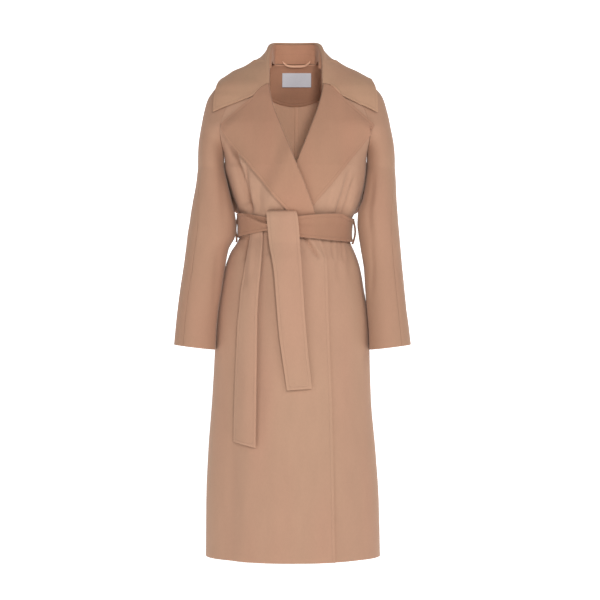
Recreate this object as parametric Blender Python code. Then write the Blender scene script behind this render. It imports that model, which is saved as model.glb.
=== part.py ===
"""A long belted wrap coat, filled out as if worn, with nothing inside it.

The coat hangs from the wearer's shoulders, so the origin lies between them. It faces -Y, and
+Z is up. Sides are the wearer's: the right front is at -X and lies on top. Sizes below are in
millimetres, and MM turns them into metres.
"""

from collections import namedtuple

import bpy
import numpy as np

MM = 0.001

# ---------------------------------------------------------------- driving sizes
CLOTH = 2.6             # double-faced wool
SEAM_GAP = 0.15         # each piece stops this far short of its seam
HEM_Z = -1152.0
UNDERARM_Z = -225.0     # where sleeve and body part
CREASE_TOP_Z = -116.0   # the fold between sleeve and body fades out here
NECK_SIDE_Z = 46.0
NECK_BACK_Z = 34.0
BELT_MIDDLE_Z = -363.0
BELT_LOW_Z = -400.0      # folds that start above this height come from under the belt
BELT_CLOTH = 4.4        # two layers of the wool
RIGHT, LEFT = -1, 1     # the wearer's sides, as the sign of x
FRONT, BACK = -1, 1     # as the sign of y


def table(columns, *rows):
    """A short table with named columns, sorted on its first column."""
    row_type = namedtuple("Row", columns)
    return sorted(row_type(*row) for row in rows)


# Half widths and depths of the body below the underarm.
BODY = table(
    "z      right  left  front  back",
    (-225,  168.0, 171.0, 125, 100),
    (-252,  160.5, 168.6, 122, 99),
    (-288,  149.5, 161.5, 115, 96),
    (-318,  138.0, 152.0, 106, 93),
    (-342,  132.5, 138.0, 99, 90),
    (-365,  131.0, 130.5, 96, 89),
    (-385,  132.0, 129.5, 96, 90),
    (-402,  139.0, 133.0, 98, 93),
    (-424,  153.5, 142.5, 101, 99),
    (-446,  162.5, 151.0, 105, 105),
    (-470,  169.5, 157.5, 107, 109),
    (-516,  177.8, 165.5, 110, 114),
    (-564,  185.5, 173.3, 113, 118),
    (-612,  190.2, 177.5, 115, 120),
    (-660,  192.2, 178.8, 117, 122),
    (-780,  199.0, 182.5, 120, 125),
    (-900,  208.0, 193.0, 124, 129),
    (-1020, 213.0, 201.0, 128, 133),
    (-1152, 214.0, 204.0, 131, 136),
)

# Above the underarm body and sleeves are one wide section. Its half width follows the shoulder
# line out and then the outside of the arm. front and back are measured from middle.
SHOULDER = table(
    "z     right  left  front  back  middle",
    (46,   60,   60,   4,  30, 8),
    (37,   78,   78,  13,  52, 8),
    (28,   96,   96,  24,  58, 8),
    (18,   115,  115, 34,  62, 8),
    (6,    137,  137, 45,  66, 7),
    (-6,   155,  157, 55,  70, 6),
    (-14,  167,  171, 62,  72, 6),
    (-24,  181,  184, 70,  75, 5),
    (-36,  194,  197, 78,  79, 4),
    (-48,  203,  207, 84,  83, 4),
    (-60,  210,  213, 89,  86, 3),
    (-84,  217,  220, 97,  91, 2),
    (-108, 222,  226, 104, 95, 1),
    (-132, 226,  230, 110, 98, 0),
    (-180, 231,  236, 119, 100, 0),
    (-225, 233,  240, 125, 100, 0),
)

# Half width at which the raglan seam runs. Above the neck seam it is the neckline.
RAGLAN_FRONT = table(
    "z     x",
    (46,   58.5), (30,  61), (14,  62.5), (0,   76), (-12, 92), (-24, 107), (-36, 121),
    (-60,  144), (-84, 161), (-108, 171), (-132, 177.5), (-160, 180), (-190, 177), (-225, 171),
)
RAGLAN_BACK = table(
    "z     x",
    (46,   58.5), (42,  57), (38,  54.5), (34,  52), (24,  64), (8,   84), (-12, 106), (-36, 129),
    (-60,  147), (-84, 162), (-108, 171), (-132, 177), (-160, 179), (-190, 176), (-225, 171),
)

# The sleeve below the underarm: half widths of its inner and outer edge, how far forward it
# hangs, half its depth, and the share of the front half that ends at the overarm seam.
SLEEVE_RIGHT = table(
    "z     inner  outer  middle  depth  seam",
    (-225, 170.5, 233, 0,   54, 0.80),
    (-264, 162.5, 237, -8,  54, 0.77),
    (-300, 153.5, 243, -13, 55, 0.75),
    (-330, 145.8, 248, -16, 56, 0.72),
    (-360, 144.0, 252, -18, 56, 0.70),
    (-384, 147.5, 256, -19, 55, 0.69),
    (-420, 160.0, 260, -20, 53, 0.68),
    (-468, 167.3, 266, -22, 52, 0.67),
    (-516, 174.5, 273, -25, 51, 0.67),
    (-564, 182.0, 279, -27, 50, 0.67),
    (-612, 186.6, 284, -29, 50, 0.67),
    (-658, 188.6, 288, -31, 50, 0.67),
)
SLEEVE_LEFT = table(
    "z     inner  outer  middle  depth  seam",
    (-225, 173.5, 240, 0,   54, 0.80),
    (-264, 168.6, 242, -8,  54, 0.77),
    (-300, 160.6, 243, -13, 55, 0.75),
    (-330, 150.5, 245, -16, 56, 0.72),
    (-360, 148.9, 247, -18, 56, 0.70),
    (-384, 151.5, 249, -19, 55, 0.69),
    (-420, 157.0, 252, -20, 53, 0.68),
    (-468, 164.5, 256, -22, 52, 0.67),
    (-516, 167.4, 261, -25, 51, 0.67),
    (-564, 170.8, 266, -27, 50, 0.67),
    (-612, 175.2, 271, -29, 50, 0.67),
    (-658, 176.6, 276, -31, 50, 0.67),
)
CUFF_RISE = 12.0        # the outer edge of a cuff is this much higher than its inner edge

# Free edges of the two fronts: the roll line down to the belt, then the front edge.
EDGE_TOP_LAYER = table(
    "z     x",
    (14,   -62.5), (-33, -60), (-76, -52), (-135, -31), (-175, -14.5), (-217, 2), (-269, 23.5),
    (-323, 42.5), (-360, 52), (-400, 61), (-447, 74), (-564, 77.5), (-800, 86), (-1152, 93),
)
EDGE_UNDER_LAYER = table(
    "z     x",
    (14,   62.5), (-33, 65), (-73, 57.4), (-147, 31.7), (-213, 5), (-270, -18),
    (-322, -38), (-396, -60), (-564, -80), (-800, -88), (-1152, -95),
)

# How far the top layer is pushed out where it lies on the other front and its lapel.
WRAP_LIFT = table(
    "z     lift",
    (60,   0), (-85, 0), (-140, 3.8), (-200, 10.6), (-230, 10.6), (-302, 9.0), (-320, 7.6),
    (-337, 4.9), (-370, 4.4), (-1152, 4.4),
)
WRAP_RAMP = 44.0        # width over which the lift grows
WRAP_LEAD = 16.0        # the full lift starts this far before the edge below

# The largest folds of the body: a trough (minus) or ridge (plus) from top to bottom.
FOLDS = table(
    "z_top  x_top  z_low  x_low  width  height",
    (-215, -124, -325, -108, 14, -5.0),
    (-220, -148, -318, -126, 11, 2.5),
    (-222, 134, -330, 103, 10, -4.5),
    (-235, 148, -330, 118, 9, -3.0),
    (-392, -118, -520, -112, 11, -5.5),
    (-392, -86, -500, -92, 9, -3.0),
    (-392, 101, -505, 106, 9, -3.5),
    (-392, 126, -500, 136, 9, -3.0),
    (-430, -30, -1152, -46, 42, 3.0),
    (-560, -142, -1152, -160, 30, -5.0),
    (-560, 140, -1152, 152, 30, -4.5),
)
BACK_FOLDS = table(
    "z_top  x_top  z_low  x_low  width  height",
    (-210, -96, -335, -82, 13, -5.0),
    (-215, 100, -335, 84, 13, -5.0),
    (-205, -160, -312, -135, 15, 6.5),
    (-255, -151, -310, -135, 13, 5.5),
    (-205, 165, -312, 151, 15, 5.0),
    (-392, -74, -640, -86, 14, -5.0),
    (-392, -24, -560, -28, 12, -3.5),
    (-392, 38, -600, 44, 13, -4.0),
    (-392, 92, -620, 104, 14, -4.5),
    (-620, -120, -1152, -140, 32, -6.0),
    (-620, 118, -1152, 138, 32, -6.0),
)

# The fold of the collar, from the centre back (turn 0) to where the lapel starts (turn 1).
COLLAR_FOLD = table(
    "turn  right  left  y    z",
    (0.00, 0,     0,    70,  88.5),
    (0.16, 25,    25,   67,  88.5),
    (0.32, 45,    45,   54,  86.5),
    (0.48, 54.5,  54.5, 30,  79),
    (0.62, 59,    60,   4,   62),
    (0.76, 62,    64,   -22, 35),
    (0.88, 63,    67,   -44, 2),
    (1.00, 60,    65,   -66, -33),
)
# Its outer edge. y is only a start: the edge is laid on the shoulder.
COLLAR_EDGE = table(
    "turn  right  left  y    right_z  left_z",
    (0.00, 0,     0,    95,  -38,  -38),
    (0.16, 52,    52,   92,  -40,  -40),
    (0.32, 100,   100,  78,  -38,  -38),
    (0.48, 143,   144,  45,  -28,  -28),
    (0.62, 169,   173,  6,   -16,  -18),
    (0.76, 181,   185,  -22, -35,  -38),
    (0.88, 187,   190,  -38, -62,  -66),
    (1.00, 189,   191,  -50, -96,  -98),
)
ROLL_TOP_Z = -33.0      # collar and lapel meet here on the roll line
# How far the fall dips below a straight line to its edge, most of it close to the fold.
COLLAR_SAG = table("turn  sag", (0.0, 28), (0.44, 28), (0.60, 15), (0.76, 5), (1.0, 0))
SAG_PLACE = 0.18
COLLAR_OFF = 5.4        # its visible face over the shoulder
STAND_END_TURN = 0.76   # the stand has run out here
STAND_OFF = 2.8         # between the neck seam and the foot of the stand
BACK_NECK_TURN = 0.34   # the neck seam leaves the back panel here
SIDE_NECK_TURN = 0.60   # and crosses to the front of the shoulder here
COLLAR_TO_CHEST = 0.72  # from this turn on, the fall goes over to lying flat on the chest

# The seam between collar and lapel, from the roll line to the notch, and the lapel's corners.
GORGE = table(
    "share  right_x  right_z  left_x  left_z",
    (0.0,   65.1, -33,  70.1, -33),
    (0.5,   80,   -42,  89,   -39),
    (1.0,   96.5, -61,  110,  -60.5),
)
NOTCH_SHARE = 0.36      # how far along the lapel's top edge the notch is
LAPEL_EDGE = table(
    "share  right_x  right_z  left_x  left_z",
    (0.00,  177,  -127,  188,  -127),
    (0.25,  141,  -174,  153,  -174),
    (0.62,  75.5, -257,  92,   -257),
    (0.92,  14,   -331,  47,   -313),
    (1.00,  3,    -346,  40,   -322),
)
# Space between a front and its lapel at the roll line.
ROLL_GAP = table("z  gap", (60, 5.0), (-120, 5.0), (-200, 3.8), (-300, 2.2), (-350, 1.2))
LAPEL_EDGE_GAP = 2.0
LAPEL_END_Z = {RIGHT: -346.0, LEFT: -314.0}     # the roll lines end here
TOP_LAPEL_LIFT = 2.2    # the upper lapel stands this much prouder

# Inside the back neck: the facing, the blank label on it and the hanger loop.
FACING_HALF = 62.0
FACING_LOW_Z = -66.0
FACING_RISE = 16.0      # its lower edge curves up to the sides
FACING_TOP_Z = 33.0
FACING_OFF = -2 * CLOTH - 0.7
LABEL_WIDTH, LABEL_HEIGHT, LABEL_TOP_Z, LABEL_X = 72.0, 34.0, 15.0, 4.0
LABEL_CLOTH = 0.8
LABEL_CURL = 3.0
LOOP_X, LOOP_HALF, LOOP_SAG, LOOP_TOP_Z, LOOP_WIDTH = 3.0, 33.0, 11.0, 41.0, 5.0
LOOP_CLOTH = 2.4
LOOP_BOW = 1.5          # its middle stands this far off the collar

# The belt round the waist, by turn from the knot: 0 is its right side, 1 its left side.
BELT = table(
    "turn   height  lift  middle",
    (0.00,  44,  16.4, -6.0),
    (0.07,  56,  13.8, -5.0),
    (0.14,  62,  8.5, -5.5),
    (0.22,  54,  3.0, -11.0),
    (0.34,  55,  2.4, -8.0),
    (0.50,  57,  2.2, -4.0),
    (0.66,  57,  2.2, -1.0),
    (0.80,  55,  2.4, 1.5),
    (0.88,  52,  8.8, 2.0),
    (0.95,  38,  11.6, 1.5),
    (1.00,  26,  16.4, 0.5),
)
BELT_START_X, BELT_END_X = -8.0, -44.0
WAIST_HALF = 131.0
KNOT = table(
    "z     left  right",
    (-406, -52, 10.5), (-380, -54.5, 9), (-350, -57, 6.5), (-331, -58, 3),
)
KNOT_FRONT = 27.5       # the knot's visible face off the body
KNOT_BACK = 11.4
KNOT_BACK_RIGHT = -29.0  # behind the band the stretch is folded narrower
KNOT_TOP_Z = -331.0

# The two hanging ends: their edges at a few heights, and how far they stand off the coat.
END_FRONT = table(
    "z      left  right  off",
    (-406.5, -52, 10.5, 13.5),
    (-470,  -45,  15,  14),
    (-563,  -39,  21,  10),
    (-616,  -35,  25,  8),
    (-750,  -17.7, 38, 5),
)
END_SIDE = table(
    "z      left  right  off",
    (-372, -102, -72, 0.8),
    (-395, -103.5, -71, 1.6),
    (-430, -110, -73, 5),
    (-470, -117, -76, 7),
    (-563, -125, -82, 9),
    (-600, -130, -83, 8.5),
    (-694, -136, -84.5, 7),
    (-771, -140, -86, 6),
    (-872, -142.5, -87.5, 5),
)
END_FRONT_SLANT, END_SIDE_SLANT = -4.0, 12.0     # how much lower the cut end is on its left
BELT_LOOPS = table(
    "side  top_z  low_z",
    (RIGHT, -318, -405), (LEFT, -330, -418),
)
BELT_LOOP_WIDTH, BELT_LOOP_Y, BELT_LOOP_BULGE = 6.0, -8.0, 9.6

# Rows of the body panels below the underarm, closer together round the waist.
BODY_ROWS = (-1152, -1030, -910, -800, -700, -620, -560, -512, -475, -447, -424, -404, -385,
             -365, -345, -322, -295, -262, -225)
# Rows above the underarm, the same on body and sleeve, so that their seam fits.
CAP_ROWS = (-210, -194, -177, -160, -143, -126, -108, -90, -73, -58, -44, -31, -18, -5, 9, 20, 29,
            34, 38.5, 43)
SLEEVE_ROWS_BELOW = 12
FRONT_TOP_Z = 9.0       # the neck end of a front
COLLAR_COLUMNS = 27
LAPEL_ROWS = 15
FALL_SHARES = np.linspace(0.0, 1.0, 8) ** 0.9   # across a lapel or the fall of the collar
FOLD_STEPS = 5          # faces round a turned-back fold
WOOL = (0.484, 0.305, 0.205)
WOOL_SHADE = (0.405, 0.245, 0.160)
LABEL_WHITE = (0.72, 0.72, 0.74)


# ---------------------------------------------------------------- small tools
def smoothstep(value):
    value = np.clip(value, 0.0, 1.0)
    return value * value * (3.0 - 2.0 * value)


def mix(first, second, share):
    return first + (second - first) * share


def read(rows, column, at):
    """A column of a table at any place, on a smooth curve that doesn't overshoot."""
    at = float(at)
    keys = [row[0] for row in rows]
    values = [getattr(row, column) for row in rows]
    if at <= keys[0]:
        return values[0]
    if at >= keys[-1]:
        return values[-1]
    i = int(np.searchsorted(keys, at)) - 1
    slopes = [
        (values[k + 1] - values[k]) / (keys[k + 1] - keys[k]) for k in range(len(keys) - 1)
    ]

    def tangent(k):
        if k in (0, len(keys) - 1):
            return slopes[min(k, len(slopes) - 1)]
        before, after = slopes[k - 1], slopes[k]
        return 0.0 if before * after <= 0 else 2.0 * before * after / (before + after)

    span = keys[i + 1] - keys[i]
    t = (at - keys[i]) / span
    return (
        values[i] * (1 + 2 * t) * (1 - t) ** 2
        + tangent(i) * span * t * (1 - t) ** 2
        + values[i + 1] * t * t * (3 - 2 * t)
        + tangent(i + 1) * span * t * t * (t - 1)
    )


def side_column(side):
    return "right" if side == RIGHT else "left"


def solve(function, target, low, high, steps=40):
    """Where a rising function reaches a target."""
    for _ in range(steps):
        middle = (low + high) / 2
        if function(middle) < target:
            low = middle
        else:
            high = middle
    return (low + high) / 2


# ---------------------------------------------------------------- the body's outer form
def fold_height(x, z, face):
    """What the large folds add to the body at one place."""
    total = 0.0
    for fold in FOLDS if face == FRONT else BACK_FOLDS:
        along = (fold.z_top - z) / (fold.z_top - fold.z_low)
        if not -0.25 < along < 1.25:
            continue
        centre = mix(fold.x_top, fold.x_low, np.clip(along, 0, 1))
        across = np.exp(-(((x - centre) / fold.width) ** 2))
        fade_in = smoothstep((along + 0.05) / 0.25)
        fade_out = smoothstep((1.05 - along) / 0.35)
        if fold.z_low <= HEM_Z:
            fade_out = 1.0
        if fold.z_low > BELT_MIDDLE_Z:
            fade_out = smoothstep((1.12 - along) / 0.12)
        elif fold.z_top > BELT_LOW_Z:
            fade_in = smoothstep((along + 0.06) / 0.08)
        total += fold.height * across * fade_in * fade_out
    return total


def wide_end(side, face, z):
    """Angle on the wide section at which the raglan seam or the neckline runs."""
    seam = read(RAGLAN_FRONT if face == FRONT else RAGLAN_BACK, "x", z)
    return np.arcsin(min(0.998, seam / read(SHOULDER, side_column(side), z)))


def wide_point(side, face, z, angle):
    width = read(SHOULDER, side_column(side), z)
    depth = read(SHOULDER, "front" if face == FRONT else "back", z)
    middle = read(SHOULDER, "middle", z)
    return np.array([side * width * np.sin(angle), middle + face * depth * np.cos(angle), z])


def body_point(side, face, z, share):
    """The body at height z, from the centre line (share 0) to its side (share 1)."""
    level = min(z, UNDERARM_Z)
    width = read(BODY, side_column(side), level)
    depth = read(BODY, "front" if face == FRONT else "back", level)
    angle = share * np.pi / 2
    point = np.array([side * width * np.sin(angle), face * depth * np.cos(angle), z])
    if z > UNDERARM_Z:
        wide = wide_point(side, face, z, share * wide_end(side, face, z))
        narrow = smoothstep((CREASE_TOP_Z - z) / (CREASE_TOP_Z - UNDERARM_Z))
        point = mix(wide, point, narrow)
    return point


def body_at_x(face, x, z):
    """The body's outer form where x is given, past the raglan seam too, without the folds."""
    side = LEFT if x >= 0 else RIGHT
    reach = abs(body_point(side, face, z, 1.0)[0])
    if abs(x) < reach or z <= UNDERARM_Z:
        share = solve(lambda s: abs(body_point(side, face, z, s)[0]), min(abs(x), reach), 0, 1)
        return body_point(side, face, z, share)
    width = read(SHOULDER, side_column(side), z)
    angle = np.arcsin(min(1.0, abs(x) / width))
    return wide_point(side, face, z, angle)


def outward(face, x, z):
    """The way out of the body at a place on it."""
    step = 1.5
    across = body_at_x(face, x + step, z) - body_at_x(face, x - step, z)
    along = body_at_x(face, x, z + step) - body_at_x(face, x, z - step)
    normal = np.cross(across, along)
    if normal[1] * face < 0:
        normal = -normal
    return normal / np.linalg.norm(normal)


def on_body(face, x, z, off=0.0):
    """A point off the body, with its folds."""
    return body_at_x(face, x, z) + outward(face, x, z) * (off + fold_height(x, z, face))


def roll_radius(z):
    """Outer radius of the turned-back fold of a lapel."""
    return read(ROLL_GAP, "gap", z) / 2 + CLOTH


def free_edge(side, z):
    """Where a front's cloth ends: behind the rounded fold, or at its front edge."""
    edge = read(EDGE_TOP_LAYER if side == RIGHT else EDGE_UNDER_LAYER, "x", z)
    return edge + side * roll_radius(z) * smoothstep((z + 385.0) / 40.0)


def wrap_lift(x, z):
    """How far out the top layer lies, because of what is under it."""
    edge_below = read(EDGE_UNDER_LAYER, "x", z)
    start = edge_below - WRAP_LEAD - WRAP_RAMP
    return read(WRAP_LIFT, "lift", z) * smoothstep((x - start) / WRAP_RAMP)


# ---------------------------------------------------------------- cloth walls
def unit_normals(grid):
    along, across = (
        np.gradient(grid, axis=axis, edge_order=2 if grid.shape[axis] > 2 else 1)
        for axis in (0, 1)
    )
    normals = np.cross(across, along)
    return normals / np.maximum(np.linalg.norm(normals, axis=2, keepdims=True), 1e-9)


def inset(grid, first_row=SEAM_GAP, last_row=SEAM_GAP, first_column=SEAM_GAP,
          last_column=SEAM_GAP):
    """Draw a grid's border in by a distance along its own surface."""
    grid = grid.copy()

    def pull(line, neighbour, distance):
        way = neighbour - line
        length = np.maximum(np.linalg.norm(way, axis=-1, keepdims=True), 1e-9)
        return line + way / length * np.minimum(distance, length * 0.45)

    grid[0] = pull(grid[0], grid[1], first_row)
    grid[-1] = pull(grid[-1], grid[-2], last_row)
    grid[:, 0] = pull(grid[:, 0], grid[:, 1], first_column)
    grid[:, -1] = pull(grid[:, -1], grid[:, -2], last_column)
    return grid


def wall(name, grid, thickness, colour, flip=False, starts_at_centre=False):
    """A closed wall of cloth. The grid is the visible face, and the wall goes in from it."""
    rows, columns = grid.shape[:2]
    normals = unit_normals(grid) * (-1 if flip else 1)
    if starts_at_centre:
        normals[:, 0, 0] = 0.0
    outer = grid.reshape(-1, 3)
    inner = (grid - normals * thickness).reshape(-1, 3)
    count = rows * columns
    faces = []

    def at(row, column, layer):
        return layer * count + row * columns + column

    def add(a, b, c, d):
        faces.append((d, c, b, a) if flip else (a, b, c, d))

    for row in range(rows - 1):
        for column in range(columns - 1):
            add(at(row, column, 0), at(row, column + 1, 0),
                at(row + 1, column + 1, 0), at(row + 1, column, 0))
            add(at(row + 1, column, 1), at(row + 1, column + 1, 1),
                at(row, column + 1, 1), at(row, column, 1))
    for column in range(columns - 1):
        add(at(0, column + 1, 0), at(0, column, 0), at(0, column, 1), at(0, column + 1, 1))
        last = rows - 1
        add(at(last, column, 0), at(last, column + 1, 0),
            at(last, column + 1, 1), at(last, column, 1))
    for row in range(rows - 1):
        add(at(row, 0, 0), at(row + 1, 0, 0), at(row + 1, 0, 1), at(row, 0, 1))
        last = columns - 1
        add(at(row + 1, last, 0), at(row, last, 0), at(row, last, 1), at(row + 1, last, 1))
    return solid(name, np.vstack([outer, inner]), faces, colour)


def solid(name, points, faces, colour, roughness=0.9):
    mesh = bpy.data.meshes.new(name)
    mesh.from_pydata([tuple(point * MM) for point in points], [], faces)
    mesh.shade_smooth()
    mesh.set_sharp_from_angle(angle=0.9)
    thing = bpy.data.objects.new(name, mesh)
    bpy.context.scene.collection.objects.link(thing)
    material = bpy.data.materials.new(name)
    material.use_nodes = True
    shader = material.node_tree.nodes["Principled BSDF"]
    shader.inputs["Base Color"].default_value = (*colour, 1.0)
    shader.inputs["Roughness"].default_value = roughness
    shader.inputs["Metallic"].default_value = 0.0
    mesh.materials.append(material)
    return thing


# ---------------------------------------------------------------- body panels
def body_grid(side, face, top, has_edge=False, lift=None, columns=14):
    """One panel: rows from hem to top, columns from its free edge or centre to its side.

    The columns start at the centre line, or at the free edge, which may lie past it.
    """
    heights = [z for z in BODY_ROWS + CAP_ROWS if z <= top]
    grid = np.zeros((len(heights), columns, 3))
    for i, z in enumerate(heights):
        start = 0.0
        if has_edge:
            edge_x = free_edge(side, z)
            if edge_x * side >= 0:
                start = solve(lambda s: abs(body_point(side, face, z, s)[0]), abs(edge_x), 0, 1)
            else:
                start = -solve(lambda s: abs(body_point(-side, face, z, s)[0]), abs(edge_x), 0, 1)
        for j, share in enumerate(np.linspace(start, 1.0, columns)):
            half = side if share >= 0 else -side
            grid[i, j] = body_point(half, face, z, abs(share))
    normals = unit_normals(grid)
    if normals[len(heights) // 2, 1, 1] * face < 0:
        normals = -normals
    for i, z in enumerate(heights):
        for j in range(columns):
            x = grid[i, j, 0]
            side_fade = smoothstep((columns - 1 - j) / 2.0)
            off = fold_height(x, z, face) * side_fade
            if lift is not None:
                off += lift(x, z)
            grid[i, j] += normals[i, j] * off
    return grid


def make_fronts():
    top_layer = body_grid(RIGHT, FRONT, FRONT_TOP_Z, True, wrap_lift, columns=16)
    under = body_grid(LEFT, FRONT, FRONT_TOP_Z, True, columns=15)
    wall("front_right", inset(top_layer, first_row=0), CLOTH, WOOL, flip=True)
    wall("front_left", inset(under, first_row=0), CLOTH, WOOL)


def make_backs():
    for side, name in ((RIGHT, "back_right"), (LEFT, "back_left")):
        grid = body_grid(side, BACK, NECK_BACK_Z, columns=10)
        wall(name, inset(grid, first_row=0), CLOTH, WOOL, side == LEFT, starts_at_centre=True)


# ---------------------------------------------------------------- sleeves
def sleeve_sizes(side):
    return SLEEVE_RIGHT if side == RIGHT else SLEEVE_LEFT


def sleeve_ring_point(side, z, turn):
    """The sleeve below the underarm. turn: 0 inner edge, 1 outer edge, 2 inner edge again."""
    sizes = sleeve_sizes(side)
    down = (UNDERARM_Z - z) / (UNDERARM_Z - sizes[0].z)
    inner = read(sizes, "inner", z)
    outer = read(sizes, "outer", z)
    angle = np.pi * turn
    across = 0.5 - 0.5 * np.cos(angle)
    depth = read(sizes, "depth", z) * np.sin(angle)
    y = read(sizes, "middle", z) - depth
    rise = CUFF_RISE * down * across
    return np.array([side * mix(inner, outer, across), y, z + rise])


def sleeve_cap_point(side, z, turn):
    """The sleeve above the underarm, from the raglan seam over the arm and back again."""
    face = FRONT if turn <= 1 else BACK
    share = turn if turn <= 1 else 2 - turn
    start = wide_end(side, face, z)
    wide = wide_point(side, face, z, mix(start, np.pi / 2, share))
    narrow = smoothstep((CREASE_TOP_Z - z) / (CREASE_TOP_Z - UNDERARM_Z))
    point = mix(wide, sleeve_ring_point(side, UNDERARM_Z, turn), narrow)
    point[2] = z
    return point


def sleeve_point(side, z, turn):
    if z > UNDERARM_Z:
        return sleeve_cap_point(side, z, turn)
    return sleeve_ring_point(side, z, turn)


def overarm_turn(side, z):
    """Where the overarm seam runs: on the shoulder line above, on the front of the arm below."""
    if z <= UNDERARM_Z:
        return read(sleeve_sizes(side), "seam", z)
    share = smoothstep((z - UNDERARM_Z) / 165.0)
    return mix(sleeve_sizes(side)[-1].seam, 1.0, share)


def make_sleeves():
    cuff_z = SLEEVE_RIGHT[0].z
    heights = np.concatenate([np.linspace(cuff_z, UNDERARM_Z, SLEEVE_ROWS_BELOW), CAP_ROWS])
    columns = 8
    for side, which in ((RIGHT, "right"), (LEFT, "left")):
        for half in ("front", "back"):
            grid = np.zeros((len(heights), columns, 3))
            for i, z in enumerate(heights):
                seam = overarm_turn(side, z)
                first, last = (0.0, seam) if half == "front" else (seam, 2.0)
                for j, share in enumerate(np.linspace(0, 1, columns)):
                    grid[i, j] = sleeve_point(side, z, mix(first, last, share))
            grid = inset(grid, first_row=0, first_column=0.35, last_column=0.35)
            wall(f"sleeve_{which}_{half}", grid, CLOTH, WOOL, flip=side == RIGHT)


# ---------------------------------------------------------------- collar and lapels
def unit(vector):
    return vector / max(np.linalg.norm(vector), 1e-9)


def neck_seam(side, turn):
    """The neck seam from the centre back (turn 0) round to the roll line (turn 1)."""
    if turn < BACK_NECK_TURN:
        angle = wide_end(side, BACK, NECK_BACK_Z) * turn / BACK_NECK_TURN
        return wide_point(side, BACK, NECK_BACK_Z, angle)
    if turn < SIDE_NECK_TURN:
        share = (turn - BACK_NECK_TURN) / (SIDE_NECK_TURN - BACK_NECK_TURN)
        z = mix(NECK_BACK_Z, NECK_SIDE_Z, share)
        return wide_point(side, BACK, z, wide_end(side, BACK, z))
    z = mix(NECK_SIDE_Z, ROLL_TOP_Z, (turn - SIDE_NECK_TURN) / (1 - SIDE_NECK_TURN))
    if z > RAGLAN_FRONT[-3].z:
        return wide_point(side, FRONT, z, wide_end(side, FRONT, z))
    return body_at_x(FRONT, free_edge(side, z), z)


def from_neck(point):
    """Level way out from the middle of the neck."""
    return unit(np.array([point[0], point[1] - 8.0, 0.0]))


def collar_fold(side, turn):
    """The top of the visible inner face, just before it turns over."""
    point = np.array([
        side * read(COLLAR_FOLD, side_column(side), turn),
        read(COLLAR_FOLD, "y", turn),
        read(COLLAR_FOLD, "z", turn) - roll_radius(0.0) * smoothstep((1.0 - turn) / 0.3),
    ])
    if turn > 0.85:
        at_roll = on_body(FRONT, free_edge(side, ROLL_TOP_Z), ROLL_TOP_Z, -CLOTH)
        point = mix(point, at_roll, smoothstep((turn - 0.85) / 0.15))
    return point


def roll_frame(side, z):
    """At the roll line of a lapel: the way out, and the way past the fold."""
    out = outward(FRONT, free_edge(side, z), z)
    past = np.array([-float(side), 0.0, 0.0])
    return out, unit(past - out * np.dot(past, out))


def collar_frame(side, turn):
    """At the fold: the way to the fall's side, and the way past the fold."""
    step = 0.01
    along = unit(collar_fold(side, min(1, turn + step)) - collar_fold(side, max(0, turn - step)))
    if turn < step:
        along = np.array([float(side), 0.0, 0.0])
    chest, past_lapel = roll_frame(side, ROLL_TOP_Z)
    to_lapel = smoothstep((turn - 0.65) / 0.35)
    out = mix(from_neck(collar_fold(side, turn)), chest, to_lapel)
    out = unit(out - along * np.dot(out, along) * (1 - to_lapel))
    past = mix(unit(np.cross(along, out) * side), past_lapel, to_lapel)
    return out, unit(past - out * np.dot(past, out))


def body_depth(point):
    """Signed distance off the wide form of the body, and the way out."""
    def value(p):
        z = min(p[2], NECK_SIDE_Z)
        width = read(SHOULDER, "left" if p[0] >= 0 else "right", z)
        depth = read(SHOULDER, "front" if p[1] < read(SHOULDER, "middle", z) else "back", z)
        level = np.hypot(p[0] / width, (p[1] - read(SHOULDER, "middle", z)) / max(depth, 14.0))
        return level + max(0.0, p[2] - NECK_SIDE_Z) / 25.0

    step = 0.5
    slope = np.array([
        (value(point + axis * step) - value(point - axis * step)) / (2 * step)
        for axis in np.eye(3)
    ])
    length = np.linalg.norm(slope)
    return (value(point) - 1.0) / length, slope / length


def lay_on_shoulder(point, off):
    """Move a point out until it is clear of the body."""
    for _ in range(6):
        distance, way = body_depth(point)
        if distance >= off:
            break
        point = point + way * (off - distance)
    return point


def notch_path(side, share, corner_x, corner_z):
    """From the roll line along the gorge to the notch and on to a corner: x and z."""
    name = side_column(side)
    if share <= NOTCH_SHARE:
        at = share / NOTCH_SHARE
        return side * read(GORGE, name + "_x", at), read(GORGE, name + "_z", at)
    at = (share - NOTCH_SHARE) / (1 - NOTCH_SHARE)
    x = mix(getattr(GORGE[-1], name + "_x"), corner_x, at)
    return side * x, mix(getattr(GORGE[-1], name + "_z"), corner_z, at)


def collar_off(share):
    return COLLAR_OFF + 2.0 * (1 - share)


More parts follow.
